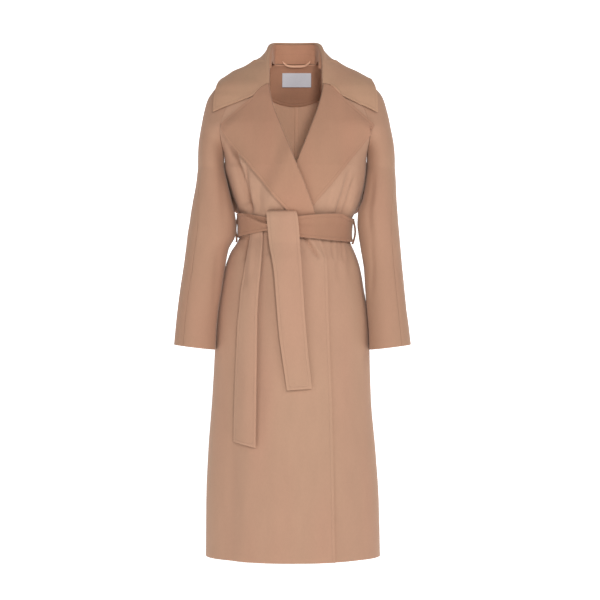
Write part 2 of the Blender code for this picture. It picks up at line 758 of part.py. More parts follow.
def collar_fall_line(side, turn, shares):
    """Points of the fall from its fold to its outer edge."""
    name = side_column(side)
    fold = collar_fold(side, turn)
    out, past = collar_frame(side, turn)
    radius = roll_radius(0.0)
    centre = fold + out * radius
    line = []
    for step in range(FOLD_STEPS):
        angle = np.pi * step / FOLD_STEPS
        line.append(centre - out * radius * np.cos(angle) + past * radius * np.sin(angle))
    start = centre + out * radius
    edge = lay_on_shoulder(np.array([
        side * read(COLLAR_EDGE, name, turn),
        read(COLLAR_EDGE, "y", turn),
        read(COLLAR_EDGE, name + "_z", turn),
    ]), COLLAR_OFF)
    control = mix(start, edge, SAG_PLACE) - np.array([0, 0, read(COLLAR_SAG, "sag", turn)])
    at_front = smoothstep((turn - COLLAR_TO_CHEST) / (1 - COLLAR_TO_CHEST))
    for share in shares:
        draped = (start * (1 - share) ** 2 + control * 2 * share * (1 - share)
                  + edge * share ** 2)
        draped = lay_on_shoulder(draped, collar_off(share))
        x, z = notch_path(side, share, read(COLLAR_EDGE, name, 1.0),
                          read(COLLAR_EDGE, name + "_z", 1.0))
        past_notch = smoothstep((share - NOTCH_SHARE) / 0.3)
        flat = on_body(FRONT, x, z, lapel_off(z, share) + TOP_LAPEL_LIFT * past_notch)
        line.append(lay_on_shoulder(mix(draped, flat, at_front), COLLAR_OFF))
    return line


def lapel_off(z, share):
    """The visible face of a lapel or collar over its front, from the roll (0) to the edge (1)."""
    gap = mix(read(ROLL_GAP, "gap", z), LAPEL_EDGE_GAP, smoothstep(share * 1.15))
    return gap + CLOTH


def make_collar():
    turns = np.linspace(-1.0, 1.0, COLLAR_COLUMNS)
    lines = [collar_fall_line(LEFT if t >= 0 else RIGHT, abs(t), FALL_SHARES) for t in turns]
    fall = np.array(lines).transpose(1, 0, 2)
    wall("collar_fall", inset(fall, 0.4, 0.15, 0.7, 0.7), CLOTH, WOOL)

    stand_turns = np.linspace(-STAND_END_TURN, STAND_END_TURN, COLLAR_COLUMNS - 2)
    rows = []
    for height in np.linspace(0.0, 1.0, 5):
        row = []
        for turn in stand_turns:
            side = LEFT if turn >= 0 else RIGHT
            seam = neck_seam(side, abs(turn))
            base = seam - from_neck(seam) * (CLOTH + STAND_OFF)
            fold = collar_fold(side, abs(turn))
            point = mix(base, fold, height ** 2.4)
            point[2] = mix(base[2], fold[2], height)
            row.append(point)
        rows.append(row)
    wall("collar_stand", inset(np.array(rows), last_row=0.4), CLOTH, WOOL)


def on_front(side, x, z, off):
    """A point off a front, over all that pushes it out."""
    lift = wrap_lift(x, z) if side == RIGHT else 0.0
    return on_body(FRONT, x, z, off + lift)


def make_lapels():
    for side, piece in ((RIGHT, "lapel_right"), (LEFT, "lapel_left")):
        name = side_column(side)
        grid = []
        for down in np.linspace(0.0, 1.0, LAPEL_ROWS):
            z = mix(ROLL_TOP_Z, LAPEL_END_Z[side], down)
            x = free_edge(side, z)
            out, past = roll_frame(side, z)
            radius = roll_radius(z)
            extra = TOP_LAPEL_LIFT * smoothstep(down / 0.3) if side == RIGHT else 0.0
            centre = on_front(side, x, z, radius - CLOTH + extra)
            line = []
            for step in range(FOLD_STEPS):
                angle = np.pi * step / FOLD_STEPS
                line.append(centre - out * radius * np.cos(angle) + past * radius * np.sin(angle))
            corner_x = read(LAPEL_EDGE, name + "_x", down)
            corner_z = read(LAPEL_EDGE, name + "_z", down)
            for share in FALL_SHARES:
                across_x, across_z = mix(x, side * corner_x, share), mix(z, corner_z, share)
                top_x, top_z = notch_path(side, share, getattr(LAPEL_EDGE[0], name + "_x"),
                                          getattr(LAPEL_EDGE[0], name + "_z"))
                bend = (1 - down) ** 3
                straight_x = mix(side * getattr(GORGE[0], name + "_x"),
                                 side * getattr(LAPEL_EDGE[0], name + "_x"), share)
                straight_z = mix(getattr(GORGE[0], name + "_z"),
                                 getattr(LAPEL_EDGE[0], name + "_z"), share)
                at_x = across_x + bend * (top_x - straight_x)
                at_z = across_z + bend * (top_z - straight_z)
                line.append(on_front(side, at_x, at_z, lapel_off(z, share) + extra))
            grid.append(line)
        grid = np.array(grid)[::-1]
        wall(piece, inset(grid, last_row=1.1), CLOTH, WOOL, flip=side == RIGHT)


# ---------------------------------------------------------------- inside the back neck
def make_facing_and_label():
    facing = []
    for share in np.linspace(0.0, 1.0, 9):
        row = []
        for x in np.linspace(-FACING_HALF, FACING_HALF, 13):
            low = FACING_LOW_Z + FACING_RISE * (x / FACING_HALF) ** 2
            z = mix(low, FACING_TOP_Z, share)
            row.append(on_body(BACK, x, z, FACING_OFF))
        facing.append(row)
    wall("back_neck_facing", np.array(facing), CLOTH, WOOL_SHADE)

    label = []
    for share in np.linspace(0.0, 1.0, 5):
        z = LABEL_TOP_Z - LABEL_HEIGHT * (1 - share)
        off = FACING_OFF - 2 * LABEL_CLOTH - LABEL_CURL * (1 - share) ** 2
        row = []
        for x in np.linspace(LABEL_X - LABEL_WIDTH / 2, LABEL_X + LABEL_WIDTH / 2, 7):
            row.append(on_body(BACK, x, z, off))
        label.append(row)
    wall("label", np.array(label), LABEL_CLOTH, LABEL_WHITE)


def make_hanger_loop():
    """A narrow folded strip that hangs from the neck seam by its ends."""
    back_neck_half = RAGLAN_BACK[-4].x
    grid = []
    for across in (0.0, LOOP_WIDTH):
        row = []
        for share in np.linspace(-1.0, 1.0, 13):
            x = LOOP_X + LOOP_HALF * share
            side = LEFT if x >= 0 else RIGHT
            slack = 1 - share ** 4
            turn = BACK_NECK_TURN * abs(x) / back_neck_half
            wall_y = neck_seam(side, turn)[1] - CLOTH - STAND_OFF
            y = wall_y - LOOP_CLOTH - LOOP_BOW * slack
            row.append(np.array([x, y, LOOP_TOP_Z - LOOP_SAG * slack - across]))
        grid.append(row)
    wall("hanger_loop", np.array(grid)[::-1], LOOP_CLOTH, WOOL_SHADE)


# ---------------------------------------------------------------- belt
def belt_ring(turn, z):
    """The body under the belt, by turn from the knot round the wearer's left side."""
    start = np.arcsin(BELT_START_X / WAIST_HALF)
    end = 2 * np.pi + np.arcsin(BELT_END_X / WAIST_HALF)
    angle = mix(start, end, turn) % (2 * np.pi)
    side = LEFT if angle < np.pi else RIGHT
    from_front = angle if angle < np.pi else 2 * np.pi - angle
    face = FRONT if from_front < np.pi / 2 else BACK
    share = (from_front if face == FRONT else np.pi - from_front) / (np.pi / 2)
    return body_point(side, face, z, share)


def make_belt_band():
    columns, rows = 43, 5
    turns = np.linspace(0.0, 1.0, columns)
    grid = np.zeros((rows, columns, 3))
    for i, across in enumerate(np.linspace(-0.5, 0.5, rows)):
        for j, turn in enumerate(turns):
            z = BELT_MIDDLE_Z + read(BELT, "middle", turn) + across * read(BELT, "height", turn)
            here, there = belt_ring(turn, z), belt_ring(min(1.0, turn + 0.004), z)
            if turn > 0.99:
                here, there = belt_ring(turn - 0.004, z), belt_ring(turn, z)
            way = unit(there - here)
            out = np.array([way[1], -way[0], 0.0])
            crown = 0.8 * (1 - (2 * across) ** 2)
            grid[i, j] = belt_ring(turn, z) + out * (
                read(BELT, "lift", turn) + BELT_CLOTH + crown)
    wall("belt_band", grid, BELT_CLOTH, WOOL)


def make_knot():
    """The stretch that comes up behind the band, turns over it and falls in front."""
    radius = (KNOT_FRONT - KNOT_BACK) / 2
    centre_off = (KNOT_FRONT + KNOT_BACK) / 2
    centre_z = KNOT_TOP_Z - radius
    path = [(KNOT_BACK, centre_z - 9.0), (KNOT_BACK, centre_z - 4.0)]
    for step in range(7):
        angle = np.pi * step / 6
        path.append((centre_off - radius * np.cos(angle), centre_z + radius * np.sin(angle)))
    path += [(KNOT_FRONT + 1.0, z) for z in (-345.0, -360.0, -375.0, -390.0)]
    path.append((KNOT_FRONT - 0.5, KNOT[0].z))
    grid = []
    for off, z in path:
        left, right = read(KNOT, "left", z), read(KNOT, "right", z)
        right = mix(KNOT_BACK_RIGHT, right, smoothstep((off - KNOT_BACK) / radius - 0.6))
        row = []
        for across in np.linspace(0.0, 1.0, 7):
            x = mix(left, right, across)
            body = body_at_x(FRONT, x, BELT_MIDDLE_Z)
            round_off = 1.5 * (2 * across - 1) ** 4
            way = outward(FRONT, x, BELT_MIDDLE_Z)
            sign = -1 if off > centre_off else 0
            point = body + way * (off + sign * round_off)
            row.append(np.array([point[0], point[1], z]))
        grid.append(row)
    wall("belt_knot", inset(np.array(grid), first_row=0), BELT_CLOTH, WOOL, flip=True)


def off_front_level(x, z, off):
    """A point off the top layer, moved out level so that it keeps its height."""
    way = outward(FRONT, x, z)
    way = unit(np.array([way[0], way[1], 0.0]))
    return body_at_x(FRONT, x, z) + way * (off + wrap_lift(x, z) + fold_height(x, z, FRONT))


def make_belt_end(name, rows_table, count, slant):
    """A flat stretch of belt that hangs down the front, with a slanted end."""
    heights = np.linspace(rows_table[0].z, rows_table[-1].z, count)
    grid = []
    for z in heights:
        left, right = read(rows_table, "left", z), read(rows_table, "right", z)
        off = read(rows_table, "off", z) + BELT_CLOTH
        row = []
        for across in np.linspace(0.0, 1.0, 6):
            x = mix(left, right, across)
            drop = slant * across if z == rows_table[0].z else 0.0
            crown = 1.0 * (1 - (2 * across - 1) ** 2)
            row.append(off_front_level(x, z - drop, off + crown))
        grid.append(row)
    wall(name, inset(np.array(grid)), BELT_CLOTH, WOOL)


def make_belt_loops():
    """Narrow loops at the side seams, which hold the band."""
    half = BELT_LOOP_WIDTH / 2
    for side, top_z, low_z in BELT_LOOPS:
        outer = read(BODY, side_column(side), BELT_MIDDLE_Z) + BELT_LOOP_BULGE
        grid = []
        for share in np.linspace(0.0, 1.0, 14):
            z = mix(low_z, top_z, share)
            body_x = read(BODY, side_column(side), z) + 0.9
            bulge = smoothstep(min(share, 1 - share) / 0.12)
            x = side * (mix(body_x, max(outer, body_x + 7.0), bulge) + CLOTH)
            grid.append([np.array([x, y, z]) for y in (BELT_LOOP_Y - half, BELT_LOOP_Y + half)])
        wall("belt_loop_" + side_column(side), np.array(grid), CLOTH, WOOL, flip=side == RIGHT)


# ---------------------------------------------------------------- build
def clear_scene():
    for thing in list(bpy.data.objects):
        bpy.data.objects.remove(thing, do_unlink=True)


def main():
    clear_scene()
    make_fronts()
    make_backs()
    make_sleeves()
    make_collar()
    make_lapels()
    make_facing_and_label()
    make_hanger_loop()
    make_belt_band()
    make_knot()
    make_belt_end("belt_end_front", END_FRONT, 12, END_FRONT_SLANT)
    make_belt_end("belt_end_side", END_SIDE, 15, END_SIDE_SLANT)
    make_belt_loops()


main()
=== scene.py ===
# %% [markdown]
# # A long belted wrap coat
#
# The coat is camel wool with no lining, filled out as if someone wore it, with nobody in it.
# The solid model already fixes every size, and this file gives the cloth its look: finer
# panels over the same form, soft creases, stitched edges, brushed wool and a plain studio.
# All lengths in the tables are millimetres, and Blender works in metres.

# %% Start from the solid model
from collections import namedtuple

import bpy
import numpy as np
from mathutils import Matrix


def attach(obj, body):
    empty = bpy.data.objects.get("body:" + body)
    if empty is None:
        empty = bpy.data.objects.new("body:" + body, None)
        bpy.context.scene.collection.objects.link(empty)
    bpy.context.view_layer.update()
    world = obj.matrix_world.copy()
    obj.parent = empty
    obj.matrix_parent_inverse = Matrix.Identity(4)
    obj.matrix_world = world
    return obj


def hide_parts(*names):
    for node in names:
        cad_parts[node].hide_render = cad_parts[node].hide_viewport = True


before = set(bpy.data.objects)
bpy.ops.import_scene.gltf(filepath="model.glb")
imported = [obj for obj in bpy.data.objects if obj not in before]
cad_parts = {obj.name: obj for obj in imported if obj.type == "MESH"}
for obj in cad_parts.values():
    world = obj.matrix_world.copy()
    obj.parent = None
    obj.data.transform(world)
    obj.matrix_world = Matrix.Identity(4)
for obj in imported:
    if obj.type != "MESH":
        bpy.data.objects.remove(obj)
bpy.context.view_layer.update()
MM = 0.001

# %% [markdown]
# ## Camera
#
# A product photograph is taken from some way off, so that the coat doesn't bulge towards the
# lens. Four metres and a 100 mm lens give the photograph's 2.4 mm to a pixel at the coat's
# middle. The camera is level, so upright edges stay upright.

# %% Camera
camera_data = bpy.data.cameras.new("camera")
camera_data.lens = 100.0
camera_data.sensor_width = 36.0
camera = bpy.data.objects.new("camera", camera_data)
camera.location = (0.012, -4.0, -0.540)
camera.rotation_euler = (np.pi / 2, 0.0, 0.0)
bpy.context.scene.collection.objects.link(camera)
bpy.context.scene.camera = camera
print("camera", tuple(camera.location))

# %% [markdown]
# ## Node helpers
#
# Every material here is one principled shader with a few nodes in front of it. These helpers
# make them, so that each material below reads as a short list of what it is.

# %% Node helpers
def add_node(tree, kind, **settings):
    node = tree.nodes.new(kind)
    for key, value in settings.items():
        setattr(node, key, value)
    return node


def set_inputs(node, values):
    for name, value in values.items():
        node.inputs[name].default_value = value


def new_material(name, settings):
    material = bpy.data.materials.new(name)
    material.use_nodes = True
    shader = material.node_tree.nodes["Principled BSDF"]
    set_inputs(shader, settings)
    return material, material.node_tree, shader


def math_node(tree, operation, first, second=None, clamp=False):
    node = add_node(tree, "ShaderNodeMath", operation=operation, use_clamp=clamp)
    for socket, value in zip(node.inputs, (first, second)):
        if value is None:
            continue
        if isinstance(value, (int, float)):
            socket.default_value = value
        else:
            tree.links.new(value, socket)
    return node.outputs[0]


def noise_node(tree, vector, stretch, scale, detail, roughness=0.5):
    mapping = add_node(tree, "ShaderNodeMapping")
    mapping.inputs["Scale"].default_value = stretch
    tree.links.new(vector, mapping.inputs["Vector"])
    noise = add_node(tree, "ShaderNodeTexNoise")
    set_inputs(noise, {"Scale": scale, "Detail": detail, "Roughness": roughness})
    tree.links.new(mapping.outputs[0], noise.inputs["Vector"])
    return noise.outputs["Fac"]


def ramp_node(tree, factor, first, second, places=(0.0, 1.0)):
    """Two colours, mixed by a factor."""
    ramp = add_node(tree, "ShaderNodeValToRGB")
    for element, place, colour in zip(ramp.color_ramp.elements, places, (first, second)):
        element.position = place
        element.color = (*colour, 1.0)
    tree.links.new(factor, ramp.inputs["Fac"])
    return ramp.outputs["Color"]


def bump_node(tree, height, strength, distance):
    bump = add_node(tree, "ShaderNodeBump")
    set_inputs(bump, {"Strength": strength, "Distance": distance})
    tree.links.new(height, bump.inputs["Height"])
    return bump.outputs["Normal"]


def srgb(red, green, blue):
    def linear(value):
        value = value / 255.0
        return value / 12.92 if value <= 0.04045 else ((value + 0.055) / 1.055) ** 2.4
    return tuple(linear(value) for value in (red, green, blue))


# %% [markdown]
# ## Studio
#
# One pale sheet makes floor and backdrop: it runs back, curves up and has no corner to catch
# a shadow line. Its wall stands further back than the camera's four metres, so that it isn't
# in the way from behind either. It glows a little, because a studio lights it on its own.
# The main light is a soft box almost beside the camera, a little above it and to its right.
# It reaches into the open neck, and it drops narrow shadows down and to the left. A second
# one, further round to the right and higher, brings out the folds. A broad fill from the
# left and the pale room soften the shadows of both.

# %% Backdrop and lights
FLOOR_Z, FLOOR_HALF = -1.46, 9.0
WALL_FOOT_Y, WALL_CURVE, WALL_TOP_Z = 3.8, 0.9, 6.0
CURVE_STEPS = 12
scene = bpy.context.scene
scene.view_settings.view_transform = "Standard"


def make_backdrop():
    profile = [(-FLOOR_HALF, FLOOR_Z)]
    for step in range(CURVE_STEPS + 1):
        angle = np.pi / 2 * step / CURVE_STEPS
        profile.append((WALL_FOOT_Y + WALL_CURVE * np.sin(angle),
                        FLOOR_Z + WALL_CURVE * (1 - np.cos(angle))))
    profile.append((WALL_FOOT_Y + WALL_CURVE, WALL_TOP_Z))
    points = [(x, y, z) for y, z in profile for x in (-FLOOR_HALF, FLOOR_HALF)]
    faces = [(2 * i, 2 * i + 1, 2 * i + 3, 2 * i + 2) for i in range(len(profile) - 1)]
    mesh = bpy.data.meshes.new("backdrop")
    mesh.from_pydata(points, [], faces)
    mesh.shade_smooth()
    backdrop = bpy.data.objects.new("backdrop", mesh)
    scene.collection.objects.link(backdrop)
    paper, _, _ = new_material("backdrop_paper", {
        "Base Color": (0.86, 0.86, 0.86, 1.0),
        "Roughness": 1.0,
        "Emission Color": (1.0, 1.0, 1.0, 1.0),
        "Emission Strength": 0.78,
    })
    mesh.materials.append(paper)


def add_softbox(name, place, target, size, power):
    light = bpy.data.lights.new(name, "AREA")
    light.shape = "RECTANGLE"
    light.size, light.size_y = size
    light.energy = power
    lamp = bpy.data.objects.new(name, light)
    lamp.location = place
    way = np.array(target) - np.array(place)
    pitch = np.arctan2(np.hypot(way[0], way[1]), -way[2])
    lamp.rotation_euler = (pitch, 0.0, np.arctan2(-way[0], way[1]))
    scene.collection.objects.link(lamp)


make_backdrop()
add_softbox("main_light", (0.62, -3.9, 0.75), (0.0, 0.0, -0.5), (0.7, 0.7), 68.0)
add_softbox("side_light", (2.5, -2.5, 1.2), (0.0, 0.0, -0.4), (0.8, 0.8), 22.0)
add_softbox("fill_light", (-2.4, -2.8, 0.4), (0.0, 0.0, -0.55), (1.8, 2.2), 17.0)
world = bpy.data.worlds.new("studio")
world.use_nodes = True
room = world.node_tree.nodes["Background"]
set_inputs(room, {"Color": (1.0, 1.0, 1.0, 1.0), "Strength": 0.16})
scene.world = world
print("lights", [thing.name for thing in scene.objects if thing.type == "LIGHT"])

# %% [markdown]
# ## Brushed wool
#
# Double-faced wool is felted and brushed until its weave has gone. Up close it is a mat of
# fine fibres that lie mostly one way, the nap. Further off it is a soft, slightly cloudy
# colour. Two noises do that: one fine and drawn out along the nap, for height, and one broad
# and faint, for colour. Every wool material needs them, so they are one shader node group.

# %% The wool group
STITCH_IN = 7.0         # millimetres from a finished edge to its stitches
CHANNEL_WIDTH = 1.3


def make_wool_group():
    """Nap: a height for the bump, and a tone around 1 for the colour, with painted shade in the
    stitch channel and a painted highlight beside the edge.
    """
    group = bpy.data.node_groups.new("brushed_nap", "ShaderNodeTree")
    for name, way, kind in (("Vector", "INPUT", "Vector"), ("Edge", "INPUT", "Float"),
                            ("Height", "OUTPUT", "Float"), ("Tone", "OUTPUT", "Float"),
                            ("Warmth", "OUTPUT", "Float")):
        group.interface.new_socket(name, in_out=way, socket_type="NodeSocket" + kind)
    way_in = add_node(group, "NodeGroupInput")
    way_out = add_node(group, "NodeGroupOutput")
    vector = way_in.outputs["Vector"]
    fibres = noise_node(group, vector, (1.0, 1.0, 0.28), 1500.0, 3.0, 0.6)
    tufts = noise_node(group, vector, (1.0, 1.0, 0.5), 260.0, 4.0, 0.55)
    clouds = noise_node(group, vector, (1.0, 1.0, 0.3), 34.0, 2.0)
    bands = noise_node(group, vector, (1.0, 1.0, 0.22), 12.0, 1.0)

    # the stitch line: a soft channel inside a finished edge
    from_line = math_node(group, "SUBTRACT", way_in.outputs["Edge"], STITCH_IN)
    near = math_node(group, "DIVIDE", from_line, CHANNEL_WIDTH)
    square = math_node(group, "MULTIPLY", near, near)
    channel = math_node(group, "POWER", 0.37, square)
    rim = math_node(group, "DIVIDE", way_in.outputs["Edge"], STITCH_IN, clamp=True)
    lip = math_node(group, "SUBTRACT", 1.0, rim)

    fine = math_node(group, "MULTIPLY", fibres, 0.55)
    coarse = math_node(group, "MULTIPLY", tufts, 0.6)
    nap = math_node(group, "ADD", fine, coarse)
    deep = math_node(group, "MULTIPLY", channel, 0.9)
    height = math_node(group, "SUBTRACT", nap, deep)
    group.links.new(height, way_out.inputs["Height"])

    soft = math_node(group, "MULTIPLY_ADD", clouds, 0.10)
    soft.node.inputs[2].default_value = 0.93
    grain = math_node(group, "MULTIPLY_ADD", tufts, 0.09)
    grain.node.inputs[2].default_value = -0.045
    tone = math_node(group, "ADD", soft, grain)
    # painted shade: the stitch channel is darkened in colour as well as dented
    painted_groove_shade = math_node(group, "MULTIPLY", channel, 0.05)
    tone = math_node(group, "SUBTRACT", tone, painted_groove_shade)
    # painted highlight: the lip between the stitches and the finished edge is painted lighter
    light = math_node(group, "MULTIPLY", lip, 0.035)
    tone = math_node(group, "ADD", tone, light)
    group.links.new(tone, way_out.inputs["Tone"])
    group.links.new(bands, way_out.inputs["Warmth"])
    return group


NAP = make_wool_group()
print("wool group", len(NAP.nodes), "nodes")

# %% [markdown]
# ## Wool materials
#
# The same cloth looks lighter or darker with the way its nap lies: downwards on the body,
# turned round on the lapels, sideways on the belt. So each gets the same nodes with its own
# colour. The inside is painted far lighter still, as painted light for the dim inside of the
# coat.
# The edge distance is an attribute that each panel's mesh carries, in millimetres.

# %% Wool materials
def make_wool(name, colour):
    material, tree, shader = new_material(name, {
        "Roughness": 0.92,
        "Specular IOR Level": 0.18,
        "Sheen Weight": 0.28,
        "Sheen Roughness": 0.45,
        "Sheen Tint": (1.0, 0.86, 0.74, 1.0),
    })
    place = add_node(tree, "ShaderNodeTexCoord")
    edge = add_node(tree, "ShaderNodeAttribute", attribute_name="edge_mm")
    nap = add_node(tree, "ShaderNodeGroup", node_tree=NAP)
    tree.links.new(place.outputs["Object"], nap.inputs["Vector"])
    tree.links.new(edge.outputs["Fac"], nap.inputs["Edge"])

    red, green, blue = colour
    cooler = (red * 0.985, green * 1.012, blue)
    warmer = (red * 1.012, green * 0.985, blue * 0.985)
    hues = ramp_node(tree, nap.outputs["Warmth"], cooler, warmer, (0.30, 0.70))
    shade = add_node(tree, "ShaderNodeMix", data_type="RGBA", blend_type="MULTIPLY")
    shade.inputs["Factor"].default_value = 1.0
    tree.links.new(hues, shade.inputs["A"])
    tree.links.new(nap.outputs["Tone"], shade.inputs["B"])
    tree.links.new(shade.outputs["Result"], shader.inputs["Base Color"])
    normal = bump_node(tree, nap.outputs["Height"], 0.55, 0.0007)
    tree.links.new(normal, shader.inputs["Normal"])
    return material


WOOL = make_wool("wool_nap_down", srgb(181, 142, 119))
WOOL_SLEEVE = make_wool("wool_sleeve", srgb(174, 135, 112))
WOOL_TURNED = make_wool("wool_nap_turned", srgb(169, 127, 104))
WOOL_COLLAR = make_wool("wool_collar", srgb(184, 144, 118))
WOOL_ACROSS = make_wool("wool_nap_across", srgb(163, 121, 98))
# painted light: the inside gets a colour far lighter than the cloth's own, standing in for light
# that hardly reaches inside the coat
WOOL_INSIDE_PAINTED_LIGHT = make_wool("wool_inside", srgb(236, 185, 154))
WOOL_FACING = make_wool("wool_facing", srgb(188, 137, 110))
print("wool materials", [item.name for item in bpy.data.materials if "wool" in item.name])

# %% [markdown]
# ## Tables of sizes
#
# The cloth has to lie on the form that the solids have, so the solids' tables and the same
# few functions give its shape here, only with many more points. The sleeves' inner edges
# alone hang a little closer to the body than the solids do, which have to stay apart. A
# table has a row for each height or place that matters, and `read` runs a smooth curve
# through the rows. The curve never overshoots, which keeps a waist a waist.

# %% Reading a table
RIGHT, LEFT = -1, 1     # the wearer's sides, as the sign of x
FRONT, BACK = -1, 1     # as the sign of y


def table(columns, *rows):
    """Named columns as arrays, sorted on the first one."""
    rows = sorted(rows)
    return {name: np.array([row[i] for row in rows], float)
            for i, name in enumerate(columns.split())}


def read(rows, column, at):
    keys = next(iter(rows.values()))
    values = rows[column]
    at = np.clip(np.asarray(at, float), keys[0], keys[-1])
    span = np.diff(keys)
    slope = np.diff(values) / span
    before, after = slope[:-1], slope[1:]
    product = before * after
    total = np.where(product > 0, before + after, 1.0)
    inner = np.where(product > 0, 2.0 * product / total, 0.0)
    tangent = np.concatenate([slope[:1], inner, slope[-1:]])
    i = np.clip(np.searchsorted(keys, at) - 1, 0, len(span) - 1)
    t = (at - keys[i]) / span[i]
    return (values[i] * (1 + 2 * t) * (1 - t) ** 2
            + tangent[i] * span[i] * t * (1 - t) ** 2
            + values[i + 1] * t * t * (3 - 2 * t)
            + tangent[i + 1] * span[i] * t * t * (t - 1))


def by_side(rows, side, at, ending=""):
    right, left = read(rows, "right" + ending, at), read(rows, "left" + ending, at)
    return np.where(np.asarray(side) > 0, left, right)


def by_face(rows, face, at):
    front, back = read(rows, "front", at), read(rows, "back", at)
    return np.where(np.asarray(face) > 0, back, front)


# %% Vector helpers
def smoothstep(value):
    value = np.clip(value, 0.0, 1.0)
    return value * value * (3.0 - 2.0 * value)


def mix(first, second, share):
    return first + (second - first) * share


def blend(first, second, share):
    """Mix points or directions by a share that has one number for each of them."""
    return first + (second - first) * np.asarray(share, float)[..., None]


def point(x, y, z):
    return np.stack(np.broadcast_arrays(x, y, z), axis=-1).astype(float)


def unit(vector):
    return vector / np.maximum(np.linalg.norm(vector, axis=-1, keepdims=True), 1e-9)


def along(vector, way):
    """The part of a vector that lies along a unit way."""
    return way * np.sum(vector * way, axis=-1, keepdims=True)


# %% Body sizes
CLOTH = 2.6
BELT_CLOTH = 4.4
HEM_Z = -1152.0
UNDERARM_Z = -225.0
CREASE_TOP_Z = -116.0
NECK_SIDE_Z = 46.0
NECK_BACK_Z = 34.0
FACING_TOP_Z = 33.0
BELT_MIDDLE_Z = -363.0

BODY = table(
    "z      right  left  front  back",
    (-225,  168.0, 171.0, 125, 100),
    (-252,  160.5, 168.6, 122, 99),
    (-288,  149.5, 161.5, 115, 96),
    (-318,  138.0, 152.0, 106, 93),
    (-342,  132.5, 138.0, 99, 90),
    (-365,  131.0, 130.5, 96, 89),
    (-385,  132.0, 129.5, 96, 90),
    (-402,  139.0, 133.0, 98, 93),
    (-424,  153.5, 142.5, 101, 99),
    (-446,  162.5, 151.0, 105, 105),
    (-470,  169.5, 157.5, 107, 109),
    (-516,  177.8, 165.5, 110, 114),
    (-564,  185.5, 173.3, 113, 118),
    (-612,  190.2, 177.5, 115, 120),
    (-660,  192.2, 178.8, 117, 122),
    (-780,  199.0, 182.5, 120, 125),
    (-900,  208.0, 193.0, 124, 129),
    (-1020, 213.0, 201.0, 128, 133),
    (-1152, 214.0, 204.0, 131, 136),
)
SHOULDER = table(
    "z     right  left  front  back  middle",
    (46,   60,   60,   4,  30, 8),
    (37,   78,   78,  13,  52, 8),
    (28,   96,   96,  24,  58, 8),
    (18,   115,  115, 34,  62, 8),
    (6,    137,  137, 45,  66, 7),
    (-6,   155,  157, 55,  70, 6),
    (-14,  167,  171, 62,  72, 6),
    (-24,  181,  184, 70,  75, 5),
    (-36,  194,  197, 78,  79, 4),
    (-48,  203,  207, 84,  83, 4),
    (-60,  210,  213, 89,  86, 3),
    (-84,  217,  220, 97,  91, 2),
    (-108, 222,  226, 104, 95, 1),
    (-132, 226,  230, 110, 98, 0),
    (-180, 231,  236, 119, 100, 0),
    (-225, 233,  240, 125, 100, 0),
)
RAGLAN_FRONT = table(
    "z     x",
    (46,   58.5), (30,  61), (14,  62.5), (0,   76), (-12, 92), (-24, 107), (-36, 121),
    (-60,  144), (-84, 161), (-108, 171), (-132, 177.5), (-160, 180), (-190, 177), (-225, 171),
)
RAGLAN_BACK = table(
    "z     x",
    (46,   58.5), (42,  57), (38,  54.5), (34,  52), (24,  64), (8,   84), (-12, 106),
    (-36, 129), (-60,  147), (-84, 162), (-108, 171), (-132, 177), (-160, 179), (-190, 176),
    (-225, 171),
)
print("body tables", len(BODY["z"]), "and", len(SHOULDER["z"]), "rows")

# %% [markdown]
# ## The form under the cloth
#
# Below the underarm the body is an oval. Above it, body and sleeves are one wide section
# whose half width follows the shoulder line, and a raglan seam divides it. A soft crease
# between arm and chest grows from the chest down to the underarm.

# %% The body's surface
def wide_end(side, face, z):
    """Angle on the wide section at which the raglan seam or the neckline runs."""
    seam = np.where(np.asarray(face) > 0, read(RAGLAN_BACK, "x", z), read(RAGLAN_FRONT, "x", z))
    return np.arcsin(np.minimum(0.998, seam / by_side(SHOULDER, side, z)))


def wide_point(side, face, z, angle):
    width = by_side(SHOULDER, side, z)
    depth = by_face(SHOULDER, face, z)
    middle = read(SHOULDER, "middle", z)
    return point(side * width * np.sin(angle), middle + face * depth * np.cos(angle), z)


def body_point(side, face, z, share):
    """The body at height z, from the centre line (share 0) to its side (share 1)."""
    level = np.minimum(z, UNDERARM_Z)
    angle = share * np.pi / 2
    below = point(side * by_side(BODY, side, level) * np.sin(angle),
                  face * by_face(BODY, face, level) * np.cos(angle), z)
    wide = wide_point(side, face, z, share * wide_end(side, face, z))
    narrow = smoothstep((CREASE_TOP_Z - z) / (CREASE_TOP_Z - UNDERARM_Z))
    return blend(wide, below, narrow)


def share_at(side, face, z, x):
    """Where on the body the half width is x, by halving the span again and again."""
    side, z, x = np.broadcast_arrays(side, z, x)
    low, high = np.zeros(x.shape), np.ones(x.shape)
    for _ in range(30):
        middle = (low + high) / 2
        short = np.abs(body_point(side, face, z, middle)[..., 0]) < x
        low, high = np.where(short, middle, low), np.where(short, high, middle)
    return (low + high) / 2


def body_at_x(face, x, z):
    """The body where x is given, past the raglan seam too."""
    x, z = np.broadcast_arrays(np.asarray(x, float), np.asarray(z, float))
    side = np.where(x >= 0, LEFT, RIGHT)
    reach = np.abs(body_point(side, face, z, np.ones(x.shape))[..., 0])
    share = share_at(side, face, z, np.minimum(np.abs(x), reach))
    near = body_point(side, face, z, share)
    angle = np.arcsin(np.minimum(1.0, np.abs(x) / by_side(SHOULDER, side, z)))
    far = wide_point(side, face, z, angle)
    inside = (np.abs(x) < reach) | (z <= UNDERARM_Z)
    return np.where(inside[..., None], near, far)


def outward(face, x, z):
    step = 1.5
    across = body_at_x(face, x + step, z) - body_at_x(face, x - step, z)
    upward = body_at_x(face, x, z + step) - body_at_x(face, x, z - step)
    normal = np.cross(across, upward)
    normal = np.where(normal[..., 1:2] * face < 0, -normal, normal)
    return unit(normal)


# %% [markdown]
# ## Folds
#
# The belt draws a lot of cloth together, so folds run up and down from it. Each is a line on
# a panel with a width and a height, minus for a trough. Real folds are never the same
# twice, so their lengths, depths and spacing differ, and the finer ones only lie between the
# large ones that the solids have too.

